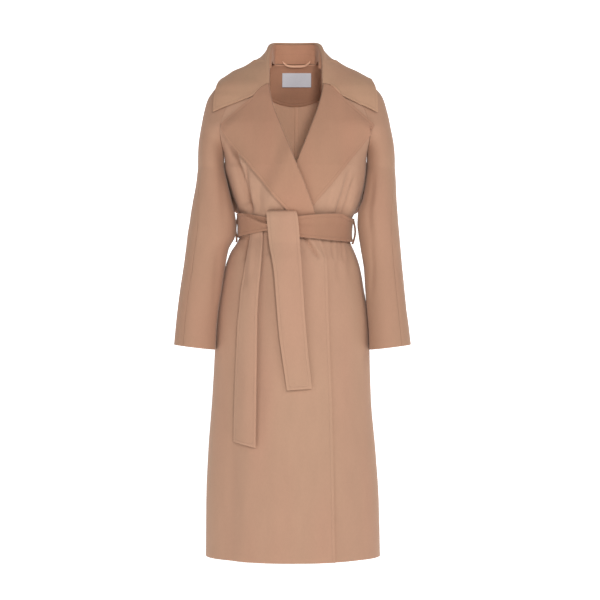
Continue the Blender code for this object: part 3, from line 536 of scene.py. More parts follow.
# %% Fold tables
Fold = namedtuple("Fold", "z_top x_top z_low x_low width height")
FOLDS = [Fold(*row) for row in (
    (-215, -124, -325, -108, 14, -5.0),
    (-220, -148, -318, -126, 11, 2.5),
    (-222, 134, -330, 103, 10, -4.5),
    (-235, 148, -330, 118, 9, -3.0),
    (-392, -118, -520, -112, 11, -5.5),
    (-392, -86, -500, -92, 9, -3.0),
    (-392, 101, -505, 106, 9, -3.5),
    (-392, 126, -500, 136, 9, -3.0),
    (-430, -30, -1152, -46, 42, 3.0),
    (-560, -142, -1152, -160, 30, -5.0),
    (-560, 140, -1152, 152, 30, -4.5),
)]
BACK_FOLDS = [Fold(*row) for row in (
    (-210, -96, -335, -82, 13, -5.0),
    (-215, 100, -335, 84, 13, -5.0),
    (-205, -160, -312, -135, 15, 6.5),
    (-255, -151, -310, -135, 13, 5.5),
    (-205, 165, -312, 151, 15, 5.0),
    (-392, -74, -640, -86, 14, -5.0),
    (-392, -24, -560, -28, 12, -3.5),
    (-392, 38, -600, 44, 13, -4.0),
    (-392, 92, -620, 104, 14, -4.5),
    (-620, -120, -1152, -140, 32, -6.0),
    (-620, 118, -1152, 138, 32, -6.0),
)]
FINE_FOLDS = [Fold(*row) for row in (
    (-166, -153, -306, -116, 8.5, -17.0),
    (-190, -134, -306, -102, 7.0, 3.0),
    (-226, -120, -330, -105, 4.4, -8.0),
    (-230, -130, -328, -117, 7, 3.0),
    (-238, -109, -330, -93, 8, 1.6),
    (-262, -84, -330, -80, 7, -2.0),
    (-238, 131, -330, 101, 4.0, -3.6),
    (-246, 122, -330, 92, 7, 1.4),
    (-250, 143, -332, 117, 3.6, -3.6),
    (-262, 154, -330, 131, 6, 1.6),
    (-275, 88, -330, 72, 6, -1.6),
    (-392, -114, -452, -118, 7.5, -9.0),
    (-392, -99, -470, -102, 6, 2.4),
    (-392, -84, -462, -89, 3.6, -4.4),
    (-392, -60, -440, -64, 5, -2.6),
    (-388, 19, -448, 60, 4.6, -7.0),
    (-390, 29, -456, 71, 7, 3.2),
    (-392, 88, -446, 91, 3.6, -3.2),
    (-392, 97, -455, 101, 5, 1.8),
    (-392, 112, -455, 117, 4, -3.0),
    (-392, 138, -450, 146, 4, -3.4),
    (-470, -70, -900, -92, 20, -2.6),
    (-520, 40, -1152, 36, 34, 1.6),
)]
FINE_BACK_FOLDS = [Fold(*row) for row in (
    (-255, -62, -335, -56, 7, -2.6),
    (-238, -20, -335, -18, 9, -2.2),
    (-262, 24, -335, 22, 7, -2.4),
    (-246, 60, -335, 52, 8, -2.6),
    (-230, 122, -335, 108, 8, -2.4),
    (-228, -124, -335, -110, 8, -2.2),
    (-392, -104, -500, -112, 7, -2.6),
    (-392, -50, -480, -54, 6, -2.4),
    (-392, 8, -500, 10, 7, -2.2),
    (-392, 64, -520, 70, 7, -2.8),
    (-392, 120, -480, 126, 6, -2.2),
    (-560, 30, -1152, 34, 40, 3.0),
    (-600, -60, -1152, -70, 36, 2.4),
)]


# %% Fold heights
def fold_height(x, z, folds):
    total = np.zeros(np.broadcast(x, z).shape)
    for fold in folds:
        down = (fold.z_top - z) / (fold.z_top - fold.z_low)
        centre = mix(fold.x_top, fold.x_low, np.clip(down, 0, 1))
        across = np.exp(-(((x - centre) / fold.width) ** 2))
        fade_in = smoothstep((down + 0.05) / 0.25)
        fade_out = smoothstep((1.05 - down) / 0.35)
        if fold.z_low > BELT_MIDDLE_Z:
            fade_out = smoothstep((1.12 - down) / 0.12)
        elif fold.z_top > -400:
            fade_in = smoothstep((down + 0.06) / 0.08)
        if fold.z_low <= HEM_Z:
            fade_out = np.ones_like(down)
        total = total + fold.height * across * fade_in * fade_out
    return total


def on_body(face, x, z, off=0.0):
    """A point off the body, with its large folds."""
    lift = off + fold_height(x, z, FOLDS if face == FRONT else BACK_FOLDS)
    return body_at_x(face, x, z) + outward(face, x, z) * np.asarray(lift)[..., None]


# %% [markdown]
# ## Where the fronts end
#
# The wearer's right front lies on top. Both fronts turn back as lapels above the belt, so
# their cloth ends at the rounded fold there, and at the front edge below it. The top layer
# is pushed out where it lies on the layer below.

# %% Free edges and the wrap
EDGE_TOP_LAYER = table(
    "z     x",
    (14,   -62.5), (-33, -60), (-76, -52), (-135, -31), (-175, -14.5), (-217, 2), (-269, 23.5),
    (-323, 42.5), (-360, 52), (-400, 61), (-447, 74), (-564, 77.5), (-800, 86), (-1152, 93),
)
EDGE_UNDER_LAYER = table(
    "z     x",
    (14,   62.5), (-33, 65), (-73, 57.4), (-147, 31.7), (-213, 5), (-270, -18),
    (-322, -38), (-396, -60), (-564, -80), (-800, -88), (-1152, -95),
)
WRAP_LIFT = table(
    "z     lift",
    (60,   0), (-85, 0), (-140, 3.8), (-200, 10.6), (-230, 10.6), (-302, 9.0), (-320, 7.6),
    (-337, 4.9), (-370, 4.4), (-1152, 4.4),
)
WRAP_RAMP = 44.0
WRAP_LEAD = 16.0
ROLL_GAP = table("z  gap", (60, 5.0), (-120, 5.0), (-200, 3.8), (-300, 2.2), (-350, 1.2))


def roll_radius(z):
    """Outer radius of the turned-back fold of a lapel."""
    return read(ROLL_GAP, "gap", z) / 2 + CLOTH


def free_edge(side, z):
    top, under = read(EDGE_TOP_LAYER, "x", z), read(EDGE_UNDER_LAYER, "x", z)
    edge = np.where(np.asarray(side) > 0, under, top)
    return edge + side * roll_radius(z) * smoothstep((np.asarray(z) + 385.0) / 40.0)


def wrap_lift(x, z):
    start = read(EDGE_UNDER_LAYER, "x", z) - WRAP_LEAD - WRAP_RAMP
    return read(WRAP_LIFT, "lift", z) * smoothstep((x - start) / WRAP_RAMP)


# %% [markdown]
# ## From points to cloth
#
# A panel is a grid of points on its visible face. Solidify gives it the thickness of the
# wool, inwards, and a small bevel rounds the cut edge, as felted wool is. The mesh also
# carries how far each point is from a finished edge, for the stitch line. Every panel takes
# the place of its solid.

# %% Grid tools
def unit_normals(grid):
    upward, across = (np.gradient(grid, axis=axis) for axis in (0, 1))
    return unit(np.cross(across, upward))


def inset(grid, first_row=0.15, last_row=0.15, first_column=0.15, last_column=0.15):
    """Draw a grid's border in along its own surface, so that seams keep a hair's gap."""
    grid = grid.copy()

    def pull(line, neighbour, distance):
        way = neighbour - line
        length = np.maximum(np.linalg.norm(way, axis=-1, keepdims=True), 1e-9)
        return line + way / length * np.minimum(distance, length * 0.45)

    grid[0] = pull(grid[0], grid[1], first_row)
    grid[-1] = pull(grid[-1], grid[-2], last_row)
    grid[:, 0] = pull(grid[:, 0], grid[:, 1], first_column)
    grid[:, -1] = pull(grid[:, -1], grid[:, -2], last_column)
    return grid


def lengths_along(grid, axis):
    """Distance walked from the first row or column, in millimetres."""
    steps = np.linalg.norm(np.diff(grid, axis=axis), axis=-1)
    start = np.zeros_like(np.take(steps, [0], axis=axis))
    return np.concatenate([start, np.cumsum(steps, axis=axis)], axis=axis)


def edge_distance(grid, finished):
    """Distance to the nearest finished border. 99 stands for far."""
    rows, columns = lengths_along(grid, 0), lengths_along(grid, 1)
    ways = {
        "first_row": rows,
        "last_row": rows[-1:] - rows,
        "first_column": columns,
        "last_column": columns[:, -1:] - columns,
    }
    distance = np.full(grid.shape[:2], 99.0)
    for border in finished:
        distance = np.minimum(distance, ways[border])
    return distance


# %% Cloth maker
PANELS = {}


def make_mesh(name, grid, flip, edge):
    rows, columns = grid.shape[:2]
    index = np.arange(rows * columns).reshape(rows, columns)
    corners = [index[:-1, :-1], index[:-1, 1:], index[1:, 1:], index[1:, :-1]]
    quads = np.stack([corner.ravel() for corner in corners], axis=1)
    if flip:
        quads = quads[:, ::-1]
    mesh = bpy.data.meshes.new(name)
    mesh.from_pydata((grid.reshape(-1, 3) * MM).tolist(), [], quads.tolist())
    u, v = lengths_along(grid, 1).ravel() * MM, lengths_along(grid, 0).ravel() * MM
    layer = mesh.uv_layers.new(name="cloth")
    for corner, vertex in enumerate(quads.ravel()):
        layer.data[corner].uv = (u[vertex], v[vertex])
    mark = mesh.attributes.new("edge_mm", "FLOAT", "POINT")
    mark.data.foreach_set("value", edge.ravel().astype(np.float32))
    return mesh


def use_modifier(thing, name, kind, **settings):
    modifier = thing.modifiers.new(name, kind)
    for key, value in settings.items():
        setattr(modifier, key, value)
    with bpy.context.temp_override(object=thing, active_object=thing):
        bpy.ops.object.modifier_apply(modifier=modifier.name)


def make_cloth(name, grid, thickness, material, nodes, finished=(), flip=False,
               edge=None, bevel=0.85, cut_width=0.0, inner=None):
    if edge is None:
        edge = edge_distance(grid, finished)
    PANELS[name] = (grid, edge, flip)
    mesh = make_mesh(name, grid, flip, edge)
    thing = bpy.data.objects.new(name, mesh)
    scene.collection.objects.link(thing)
    mesh.materials.append(material)
    mesh.materials.append(inner or material)
    use_modifier(thing, "thickness", "SOLIDIFY", thickness=thickness * MM, offset=-1.0,
                 use_rim=True, material_offset=1, material_offset_rim=0)
    use_modifier(thing, "soft_edge", "BEVEL", width=bevel * MM, segments=3,
                 limit_method="ANGLE", angle_limit=np.radians(62))
    thing.data.shade_smooth()
    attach(thing, "root")
    if nodes:
        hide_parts(*nodes)
    width = max(float(lengths_along(grid, 1)[:, -1].max()) * MM, cut_width)
    length = float(lengths_along(grid, 0)[-1].max()) * MM
    return thing


# %% [markdown]
# ## Fronts and backs
#
# A panel's rows run level from hem to neck, and its columns from the free edge or the centre
# back round to the side seam. Both panels beside a seam use the same rows, so the seam
# closes along its whole length.

# %% Panel grids
SOLID_ROWS = [-1152, -1030, -910, -800, -700, -620, -560, -512, -475, -447, -424, -404, -385,
              -365, -345, -322, -295, -262, -225, -210, -194, -177, -160, -143, -126, -108,
              -90, -73, -58, -44, -31, -18, -5, 9, 20, 29, 34, 38.5, 43]


def fine_rows(low, high):
    rows = [float(low)]
    marks = [z for z in SOLID_ROWS if low < z <= high]
    for z in marks:
        step = 11.0 if z <= -560 else 4.6
        count = int(np.ceil((z - rows[-1]) / step))
        rows.extend(np.linspace(rows[-1], z, count + 1)[1:])
    return np.array(rows)


BLOUSE = table(
    "z     right  left",
    (-150, 0,    0), (-190, 5,    5), (-208, 11,   11), (-225, 12,   11), (-245, 13,   11),
    (-275, 15,   12), (-305, 20,   13), (-322, 20,   12), (-334, 3,    3), (-340, 0,    0),
)


def blouse(side, face, z, way):
    """The back hangs over the belt beside the arms, wider than the side seam."""
    if face == FRONT:
        return 0.0
    return by_side(BLOUSE, side, z) * np.exp(-(((way - 0.84) / 0.09) ** 2))


def body_grid(side, face, top, columns, solid_columns, edge=False, lift=None):
    heights = fine_rows(HEM_Z, top)
    start = np.zeros(len(heights))
    if edge:
        x = free_edge(side, heights)
        own = share_at(side, face, heights, np.abs(x))
        past = -share_at(-side, face, heights, np.abs(x))
        start = np.where(x * side >= 0, own, past)
    z = heights[:, None]
    way = np.linspace(0.0, 1.0, columns)[None, :]
    share = mix(start[:, None], 1.0, way)
    half = np.where(share >= 0, side, -side)
    grid = body_point(half, face, z + 0 * share, np.abs(share))
    normals = unit_normals(grid)
    if normals[len(heights) // 2, 1, 1] * face < 0:
        normals = -normals
    x = grid[..., 0]
    large, fine = (FOLDS, FINE_FOLDS) if face == FRONT else (BACK_FOLDS, FINE_BACK_FOLDS)
    off = fold_height(x, z, large) + fold_height(x, z, fine)
    off = (off + blouse(side, face, z, way)) * smoothstep((1.0 - way) * (solid_columns - 1) / 2.0)
    if lift is not None:
        off = off + lift(x, z)
    return grid + normals * off[..., None]


# %% Front and back panels
FRONT_TOP_Z = 9.0
for side, name, columns, solid_columns, lift in ((RIGHT, "right", 76, 16, wrap_lift),
                                                 (LEFT, "left", 72, 15, None)):
    front = body_grid(side, FRONT, FRONT_TOP_Z, columns, solid_columns, True, lift)
    make_cloth(name + "_front", inset(front, first_row=0), CLOTH, WOOL, ["front_" + name],
               ("first_column",), flip=side == RIGHT)
for side, name in ((RIGHT, "right"), (LEFT, "left")):
    half_back = inset(body_grid(side, BACK, NECK_BACK_Z, 52, 10), first_row=0)
    make_cloth(name + "_back", half_back, CLOTH, WOOL, ["back_" + name],
               flip=side == LEFT, inner=WOOL_INSIDE_PAINTED_LIGHT)

# inside, the centre back seam is pressed to one side and sewn down as a narrow fell
heights = fine_rows(HEM_Z + 2.0, -40.0)[:, None]
x = np.linspace(-1.5, 5.0, 8)[None, :]
FELL_CLOTH = 1.2
NARROW_STRIP = 0.0102   # metres, a narrow strip's flat width with what it turns under
seam_fell = on_body(BACK, x, heights, -CLOTH - 1.3)
make_cloth("centre_back_fell", seam_fell, FELL_CLOTH, WOOL_INSIDE_PAINTED_LIGHT, [],
           ("last_column",), bevel=0.4, cut_width=NARROW_STRIP)

# %% [markdown]
# ## Sleeves
#
# Each sleeve is two panels, joined by a seam over the arm and a second one under it. The
# tube hangs a little forward, as arms do. Its soft creases are pushed level, out from the
# tube's middle, so both panels agree where they meet.

# %% Sleeve sizes
SLEEVE = table(
    "z     right_inner  right_outer  left_inner  left_outer  middle  depth  seam",
    (-225, 169.2, 233, 172.2, 240, 0,   54, 0.80),
    (-264, 160.5, 237, 167.6, 242, -8,  54, 0.77),
    (-300, 152.0, 243, 160.6, 243, -13, 55, 0.75),
    (-330, 144.0, 248, 150.5, 245, -16, 56, 0.72),
    (-360, 140.4, 252, 148.9, 247, -18, 56, 0.70),
    (-384, 141.8, 256, 151.5, 249, -19, 55, 0.69),
    (-420, 158.5, 260, 157.0, 252, -20, 53, 0.68),
    (-468, 167.3, 266, 164.5, 256, -22, 52, 0.67),
    (-516, 174.5, 273, 167.4, 261, -25, 51, 0.67),
    (-564, 182.0, 279, 170.8, 266, -27, 50, 0.67),
    (-612, 186.6, 284, 175.2, 271, -29, 50, 0.67),
    (-658, 188.6, 288, 176.6, 276, -31, 50, 0.67),
)
CUFF_Z = -658.0
CUFF_RISE = 12.0
Crease = namedtuple("Crease", "z_top turn_top z_low turn_low width height")
CREASES = {
    LEFT: [Crease(*row) for row in (
        (-236, 0.30, -400, 0.36, 0.06, -3.4),
        (-390, 0.36, -540, 0.24, 0.05, -2.6),
        (-250, 0.42, -420, 0.46, 0.05, 1.4),
        (-330, 1.16, -470, 1.34, 0.07, -3.2),
        (-410, 1.60, -520, 1.42, 0.07, -3.0),
        (-480, 0.90, -600, 1.00, 0.06, -1.4),
        (-300, 1.72, -420, 1.62, 0.06, -2.6),
    )],
    RIGHT: [Crease(*row) for row in (
        (-236, 0.26, -380, 0.34, 0.06, -2.2),
        (-420, 0.30, -560, 0.22, 0.05, -2.0),
        (-340, 1.18, -480, 1.36, 0.07, -3.0),
        (-400, 1.58, -530, 1.44, 0.07, -3.2),
        (-300, 0.62, -430, 0.56, 0.06, -1.2),
        (-310, 1.70, -430, 1.60, 0.06, -2.4),
    )],
}


# %% Sleeve surface
def sleeve_ring(side, z, turn):
    """The tube below the underarm. turn: 0 inner edge, 1 outer edge, 2 inner edge again."""
    down = (UNDERARM_Z - z) / (UNDERARM_Z - CUFF_Z)
    inner, outer = by_side(SLEEVE, side, z, "_inner"), by_side(SLEEVE, side, z, "_outer")
    across = 0.5 - 0.5 * np.cos(np.pi * turn)
    y = read(SLEEVE, "middle", z) - read(SLEEVE, "depth", z) * np.sin(np.pi * turn)
    return point(side * mix(inner, outer, across), y, z + CUFF_RISE * down * across)


def sleeve_point(side, z, turn):
    low = np.minimum(z, UNDERARM_Z)
    ring = sleeve_ring(side, low, turn)
    face = np.where(turn <= 1, FRONT, BACK)
    share = np.where(turn <= 1, turn, 2 - turn)
    start = wide_end(side, face, z)
    wide = wide_point(side, face, z, mix(start, np.pi / 2, share))
    narrow = smoothstep((CREASE_TOP_Z - z) / (CREASE_TOP_Z - UNDERARM_Z))
    cap = blend(wide, ring, narrow)
    cap[..., 2] = z + 0 * turn
    return np.where((z > UNDERARM_Z + 0 * turn)[..., None], cap, ring)


def sleeve_crease(side, z, turn):
    total = np.zeros(np.broadcast(z, turn).shape)
    for crease in CREASES[side]:
        down = (crease.z_top - z) / (crease.z_top - crease.z_low)
        centre = mix(crease.turn_top, crease.turn_low, np.clip(down, 0, 1))
        across = np.exp(-(((turn - centre) / crease.width) ** 2))
        ends = smoothstep((down + 0.1) / 0.4) * smoothstep((1.1 - down) / 0.4)
        total = total + crease.height * across * ends
    return total


def overarm_turn(z):
    above = smoothstep((z - UNDERARM_Z) / 165.0)
    return mix(read(SLEEVE, "seam", z), 1.0, above)


def creased_sleeve(side, z, turn):
    grid = sleeve_point(side, z, turn)
    low = np.minimum(z, UNDERARM_Z)
    edges_x = by_side(SLEEVE, side, low, "_inner") + by_side(SLEEVE, side, low, "_outer")
    way = unit(point(grid[..., 0] - side * edges_x / 2,
                     grid[..., 1] - read(SLEEVE, "middle", low), 0.0))
    return grid + way * sleeve_crease(side, z, turn)[..., None]


# %% Sleeve panels
for side, name in ((RIGHT, "right"), (LEFT, "left")):
    heights = fine_rows(CUFF_Z, 43.0)[:, None]
    seam = overarm_turn(heights)
    for half, first, last, columns in (("front", 0.0 * seam, seam, 30),
                                       ("back", seam, 2.0 + 0.0 * seam, 46)):
        turn = mix(first, last, np.linspace(0.0, 1.0, columns)[None, :])
        grid = creased_sleeve(side, heights, turn)
        grid = inset(grid, first_row=0, first_column=0.35, last_column=0.35)
        make_cloth(f"{name}_sleeve_{half}", grid, CLOTH, WOOL_SLEEVE,
                   [f"sleeve_{name}_{half}"], flip=side == RIGHT)

# %% [markdown]
# ## Collar
#
# The collar stands up inside at the back of the neck, turns over and falls on the
# shoulders. Its fold runs from the centre back to the top of each lapel. The fall is a
# soft curve from the fold to its outer edge, moved out wherever it would cut into the
# shoulder. At its front ends it lies flat on the chest and meets the lapel along a seam.

# %% Collar sizes
ROLL_TOP_Z = -33.0
COLLAR_SAG = table("turn  sag", (0.0, 28), (0.44, 28), (0.60, 15), (0.76, 5), (1.0, 0))
SAG_PLACE = 0.18
COLLAR_OFF = 5.4
STAND_END_TURN = 0.84
STAND_OFF = 2.8
NOTCH_SHARE = 0.36
LAPEL_EDGE_GAP = 2.0
TOP_LAPEL_LIFT = 2.2
EDGE_TOP_Z = 14.0       # where the free edge of a front leaves the raglan seam
BACK_NECK_TURN, SIDE_NECK_TURN = 0.34, 0.60
COLLAR_FOLD = table(
    "turn  right  left  y    z",
    (0.00, 0,     0,    70,  88.5),
    (0.16, 25,    25,   67,  88.5),
    (0.32, 45,    45,   54,  86.5),
    (0.48, 54.5,  54.5, 30,  79),
    (0.62, 59,    60,   4,   62),
    (0.76, 62,    64,   -22, 35),
    (0.88, 63,    67,   -44, 2),
    (1.00, 60,    65,   -66, -33),
)
COLLAR_EDGE = table(
    "turn  right  left  y    right_z  left_z",
    (0.00, 0,     0,    95,  -38,  -38),
    (0.16, 52,    52,   92,  -40,  -40),
    (0.32, 100,   100,  78,  -38,  -38),
    (0.48, 143,   144,  45,  -28,  -28),
    (0.62, 169,   173,  6,   -16,  -18),
    (0.76, 181,   185,  -22, -35,  -38),
    (0.88, 187,   190,  -38, -62,  -66),
    (1.00, 189,   191,  -50, -96,  -98),
)
GORGE = table(
    "share  right_x  right_z  left_x  left_z",
    (0.0,   65.1, -33,  70.1, -33),
    (0.5,   80,   -42,  89,   -39),
    (1.0,   96.5, -61,  110,  -60.5),
)


# %% The fold of the collar
def from_neck(place):
    return unit(point(place[..., 0], place[..., 1] - 8.0, 0.0))


def collar_fold(side, turn):
    """The top of the visible inner face, just before it turns over."""
    turn = np.clip(turn, 0.0, 1.0)
    high = read(COLLAR_FOLD, "z", turn) - roll_radius(0.0) * smoothstep((1.0 - turn) / 0.3)
    place = point(side * by_side(COLLAR_FOLD, side, turn), read(COLLAR_FOLD, "y", turn), high)
    at_roll = on_body(FRONT, free_edge(side, ROLL_TOP_Z), ROLL_TOP_Z, -CLOTH)
    return blend(place, at_roll, smoothstep((turn - 0.85) / 0.15))


def roll_frame(side, z):
    """At a lapel's roll line: the way out, and the way past the fold."""
    out = outward(FRONT, free_edge(side, z), z)
    past = point(-side + 0 * out[..., 0], 0.0, 0.0)
    return out, unit(past - along(past, out))


def collar_frame(side, turn):
    step = 0.01
    line = unit(collar_fold(side, turn + step) - collar_fold(side, turn - step))
    straight = point(side + 0.0 * turn, 0.0, 0.0)
    line = np.where((turn < step)[..., None], straight, line)
    chest, past_lapel = roll_frame(side, ROLL_TOP_Z)
    to_lapel = smoothstep((turn - 0.65) / 0.35)
    out = blend(from_neck(collar_fold(side, turn)), chest, to_lapel)
    out = unit(out - along(out, line) * (1 - to_lapel)[..., None])
    past = unit(np.cross(line, out) * np.asarray(side)[..., None])
    past = blend(past, past_lapel, to_lapel)
    return out, unit(past - along(past, out))


# %% Laying the collar on the shoulder
LEAST_DEPTH = 14.0      # the form is too thin at the neck for a distance worked out by slope
ABOVE_NECK = 25.0


def body_depth(place):
    """Signed distance off the wide form of the body, and the way out."""
    def value(p):
        z = np.minimum(p[..., 2], NECK_SIDE_Z)
        middle = read(SHOULDER, "middle", z)
        width = by_side(SHOULDER, np.where(p[..., 0] >= 0, LEFT, RIGHT), z)
        depth = by_face(SHOULDER, np.where(p[..., 1] < middle, FRONT, BACK), z)
        depth = np.maximum(depth, LEAST_DEPTH)
        level = np.hypot(p[..., 0] / width, (p[..., 1] - middle) / depth)
        return level + np.maximum(0.0, p[..., 2] - NECK_SIDE_Z) / ABOVE_NECK

    step = 0.5
    slope = np.stack([value(place + axis * step) - value(place - axis * step)
                      for axis in np.eye(3)], axis=-1) / (2 * step)
    length = np.linalg.norm(slope, axis=-1)
    return (value(place) - 1.0) / length, slope / length[..., None]


def lay_on_shoulder(place, off):
    for _ in range(6):
        distance, way = body_depth(place)
        place = place + way * np.maximum(0.0, off - distance)[..., None]
    return place


# %% From the roll line to the notch and the point
def notch_path(side, share, corner_x, corner_z):
    """Along the gorge seam to the notch, then on to a corner: x and z."""
    at = share / NOTCH_SHARE
    gorge_x, gorge_z = by_side(GORGE, side, at, "_x"), by_side(GORGE, side, at, "_z")
    past = np.clip((share - NOTCH_SHARE) / (1 - NOTCH_SHARE), 0, 1)
    end_x, end_z = by_side(GORGE, side, 1.0, "_x"), by_side(GORGE, side, 1.0, "_z")
    x = np.where(share <= NOTCH_SHARE, gorge_x, mix(end_x, corner_x, past))
    z = np.where(share <= NOTCH_SHARE, gorge_z, mix(end_z, corner_z, past))
    return side * x, z


def lapel_off(z, share):
    gap = mix(read(ROLL_GAP, "gap", z), LAPEL_EDGE_GAP, smoothstep(share * 1.15))
    return gap + CLOTH


def round_corner(first, second, first_length, second_length, radius):
    """Pull the corner at shares (1, 1) in to a curve. Lengths and radius in millimetres."""
    u = np.clip(1 - (1 - first) * first_length / radius, 0, 1)
    v = np.clip(1 - (1 - second) * second_length / radius, 0, 1)
    first = first - (u - u * np.sqrt(1 - v * v / 2)) * radius / first_length
    second = second - (v - v * np.sqrt(1 - u * u / 2)) * radius / second_length
    return first, second


# %% [markdown]
# The grid of the fall has a row for each step over the fold and across the fall, and a
# column for each step round the neck. Its two front points are rounded by shifting the
# steps near them, which keeps the mesh tidy.

# %% Collar grids
COLLAR_CORNER = (470.0, 140.0, 9.0)     # length round, length across, radius
LAPEL_CORNER = (340.0, 150.0, 5.0)
COLLAR_PROUD, LAPEL_PROUD = 4.0, 5.0    # how far the outer edges stand off


def fold_arc(centre, out, past, radius, steps):
    """Rows that go round a turned-back fold, not counting its end."""
    angles = np.pi * np.arange(steps) / steps
    return [centre - out * radius * np.cos(angle) + past * radius * np.sin(angle)
            for angle in angles]


def collar_fall_grid(columns, steps, rows):
    signed = np.linspace(-1.0, 1.0, columns)
    side = np.where(signed >= 0, LEFT, RIGHT)
    turn = np.abs(signed)
    radius = float(roll_radius(0.0))
    out, past = collar_frame(side, turn)
    fold = collar_fold(side, turn)
    arc = fold_arc(fold + out * radius, out, past, radius, steps)

    side2, turn2 = np.broadcast_arrays(side[None, :], turn[None, :])
    shares = np.linspace(0.0, 1.0, rows)[:, None] + 0 * turn2
    turn2, shares = round_corner(turn2, shares, *COLLAR_CORNER)
    out, _ = collar_frame(side2, turn2)
    start = collar_fold(side2, turn2) + out * 2 * radius
    edge = lay_on_shoulder(point(side2 * by_side(COLLAR_EDGE, side2, turn2),
                                 read(COLLAR_EDGE, "y", turn2),
                                 by_side(COLLAR_EDGE, side2, turn2, "_z")), COLLAR_OFF)
    control = mix(start, edge, SAG_PLACE)
    control[..., 2] -= read(COLLAR_SAG, "sag", turn2)
    at_front = smoothstep((turn2 - 0.72) / 0.28)
    s = shares[..., None]
    draped = start * (1 - s) ** 2 + control * 2 * s * (1 - s) + edge * s ** 2
    draped = lay_on_shoulder(draped, COLLAR_OFF + 2.0 * (1 - shares))
    x, z = notch_path(side2, shares, by_side(COLLAR_EDGE, side2, 1.0),
                      by_side(COLLAR_EDGE, side2, 1.0, "_z"))
    past_notch = smoothstep((shares - NOTCH_SHARE) / 0.3)
    flat = on_body(FRONT, x, z, lapel_off(z, shares) + TOP_LAPEL_LIFT * past_notch)
    proud = COLLAR_PROUD * smoothstep((shares - 0.5) / 0.5)
    fall = lay_on_shoulder(blend(draped, flat, at_front), COLLAR_OFF + proud)
    return np.concatenate([np.array(arc), fall], axis=0), shares


def neck_seam(side, turn):
    """The neck seam from the centre back (turn 0) round to the roll line (turn 1)."""
    back_angle = wide_end(side, BACK, NECK_BACK_Z) * turn / BACK_NECK_TURN
    at_back = wide_point(side, BACK, NECK_BACK_Z + 0 * turn, back_angle)
    past_back = (turn - BACK_NECK_TURN) / (SIDE_NECK_TURN - BACK_NECK_TURN)
    z = mix(NECK_BACK_Z, NECK_SIDE_Z, np.clip(past_back, 0, 1))
    at_side = wide_point(side, BACK, z, wide_end(side, BACK, z))
    past_side = (turn - SIDE_NECK_TURN) / (1 - SIDE_NECK_TURN)
    z = mix(NECK_SIDE_Z, ROLL_TOP_Z, np.clip(past_side, 0, 1))
    on_seam = wide_point(side, FRONT, z, wide_end(side, FRONT, z))
    on_edge = body_at_x(FRONT, free_edge(side, z), z)
    at_front = np.where((z > EDGE_TOP_Z)[..., None], on_seam, on_edge)
    return np.where((turn < BACK_NECK_TURN)[..., None], at_back,
                    np.where((turn < SIDE_NECK_TURN)[..., None], at_side, at_front))


def collar_stand_grid(columns, rows):
    signed = np.linspace(-STAND_END_TURN, STAND_END_TURN, columns)
    side, turn = np.where(signed >= 0, LEFT, RIGHT), np.abs(signed)
    seam, fold = neck_seam(side, turn), collar_fold(side, turn)
    inward = CLOTH + STAND_OFF + 3.0 * smoothstep((turn - 0.66) / 0.18)
    base = seam - from_neck(seam) * inward[..., None] - np.array([0, 0, 0.7])

    # at the neck's sides the base goes down behind the facing's corners
    tuck = smoothstep((turn - 0.28) / 0.10) * smoothstep((0.70 - turn) / 0.10)
    base[..., 2] = mix(base[..., 2], np.minimum(base[..., 2], FACING_TOP_Z - 2.0), tuck)

    # it rises steeply from the seam and leans out to the fold near the top
    grid = []
    for height in np.linspace(0.0, 1.0, rows):
        line = mix(base, fold, height ** 2.4)
        line[..., 2] = mix(base[..., 2], fold[..., 2], height)
        grid.append(line)
    return np.array(grid)


# %% Collar pieces
FALL_COLUMNS, FALL_FOLD_ROWS, FALL_ROWS = 181, 12, 44
STAND_SEWING = (13.0, 27.0)     # two lines of stitching below the fold
fall_grid, fall_shares = collar_fall_grid(FALL_COLUMNS, FALL_FOLD_ROWS, FALL_ROWS)
fall_grid = inset(fall_grid, 0.4, 0.15, 0.7, 0.7)
fall_edge = edge_distance(fall_grid, ("last_row", "first_column", "last_column"))
from_outer = edge_distance(fall_grid, ("last_row",))
fold_part = np.zeros((FALL_FOLD_ROWS, FALL_COLUMNS))
beside_gorge = np.concatenate([fold_part, fall_shares]) < NOTCH_SHARE
fall_edge = np.where(beside_gorge, from_outer, fall_edge)
make_cloth("collar_top", fall_grid, CLOTH, WOOL_COLLAR, ["collar_fall"],
           edge=fall_edge)
stand_grid = inset(collar_stand_grid(121, 24), last_row=0.4)
from_fold = edge_distance(stand_grid, ("last_row",))
stand_lines = STITCH_IN + np.min([np.abs(from_fold - line) for line in STAND_SEWING], axis=0)
make_cloth("collar_inside", stand_grid, CLOTH, WOOL_FACING, ["collar_stand"],
           edge=stand_lines)

# %% [markdown]
# ## Lapels
#
# A lapel is the front turned back along its roll line, so its visible face is the other
# face of the cloth, with the nap the other way up. Its grid runs from behind the fold,
# round it and out to the edge, and its rows fan out from the roll line to the long outer
# edge. The turned cloth bows up a little between fold and edge, because nothing presses it.

# %% Lapel grids
LAPEL_EDGE = table(
    "share  right_x  right_z  left_x  left_z",
    (0.00,  177,  -127,  188,  -127),
    (0.25,  141,  -174,  153,  -174),
    (0.62,  75.5, -257,  92,   -257),
    (0.92,  14,   -331,  47,   -313),
    (1.00,  3,    -346,  40,   -322),
)


def on_front(side, x, z, off):
    lift = wrap_lift(x, z) if side == RIGHT else 0.0
    return on_body(FRONT, x, z, off + lift)


def lapel_lift(side, down):
    """The right lapel lies over the left one."""
    return (TOP_LAPEL_LIFT if side == RIGHT else 0.0) * smoothstep(down / 0.3)


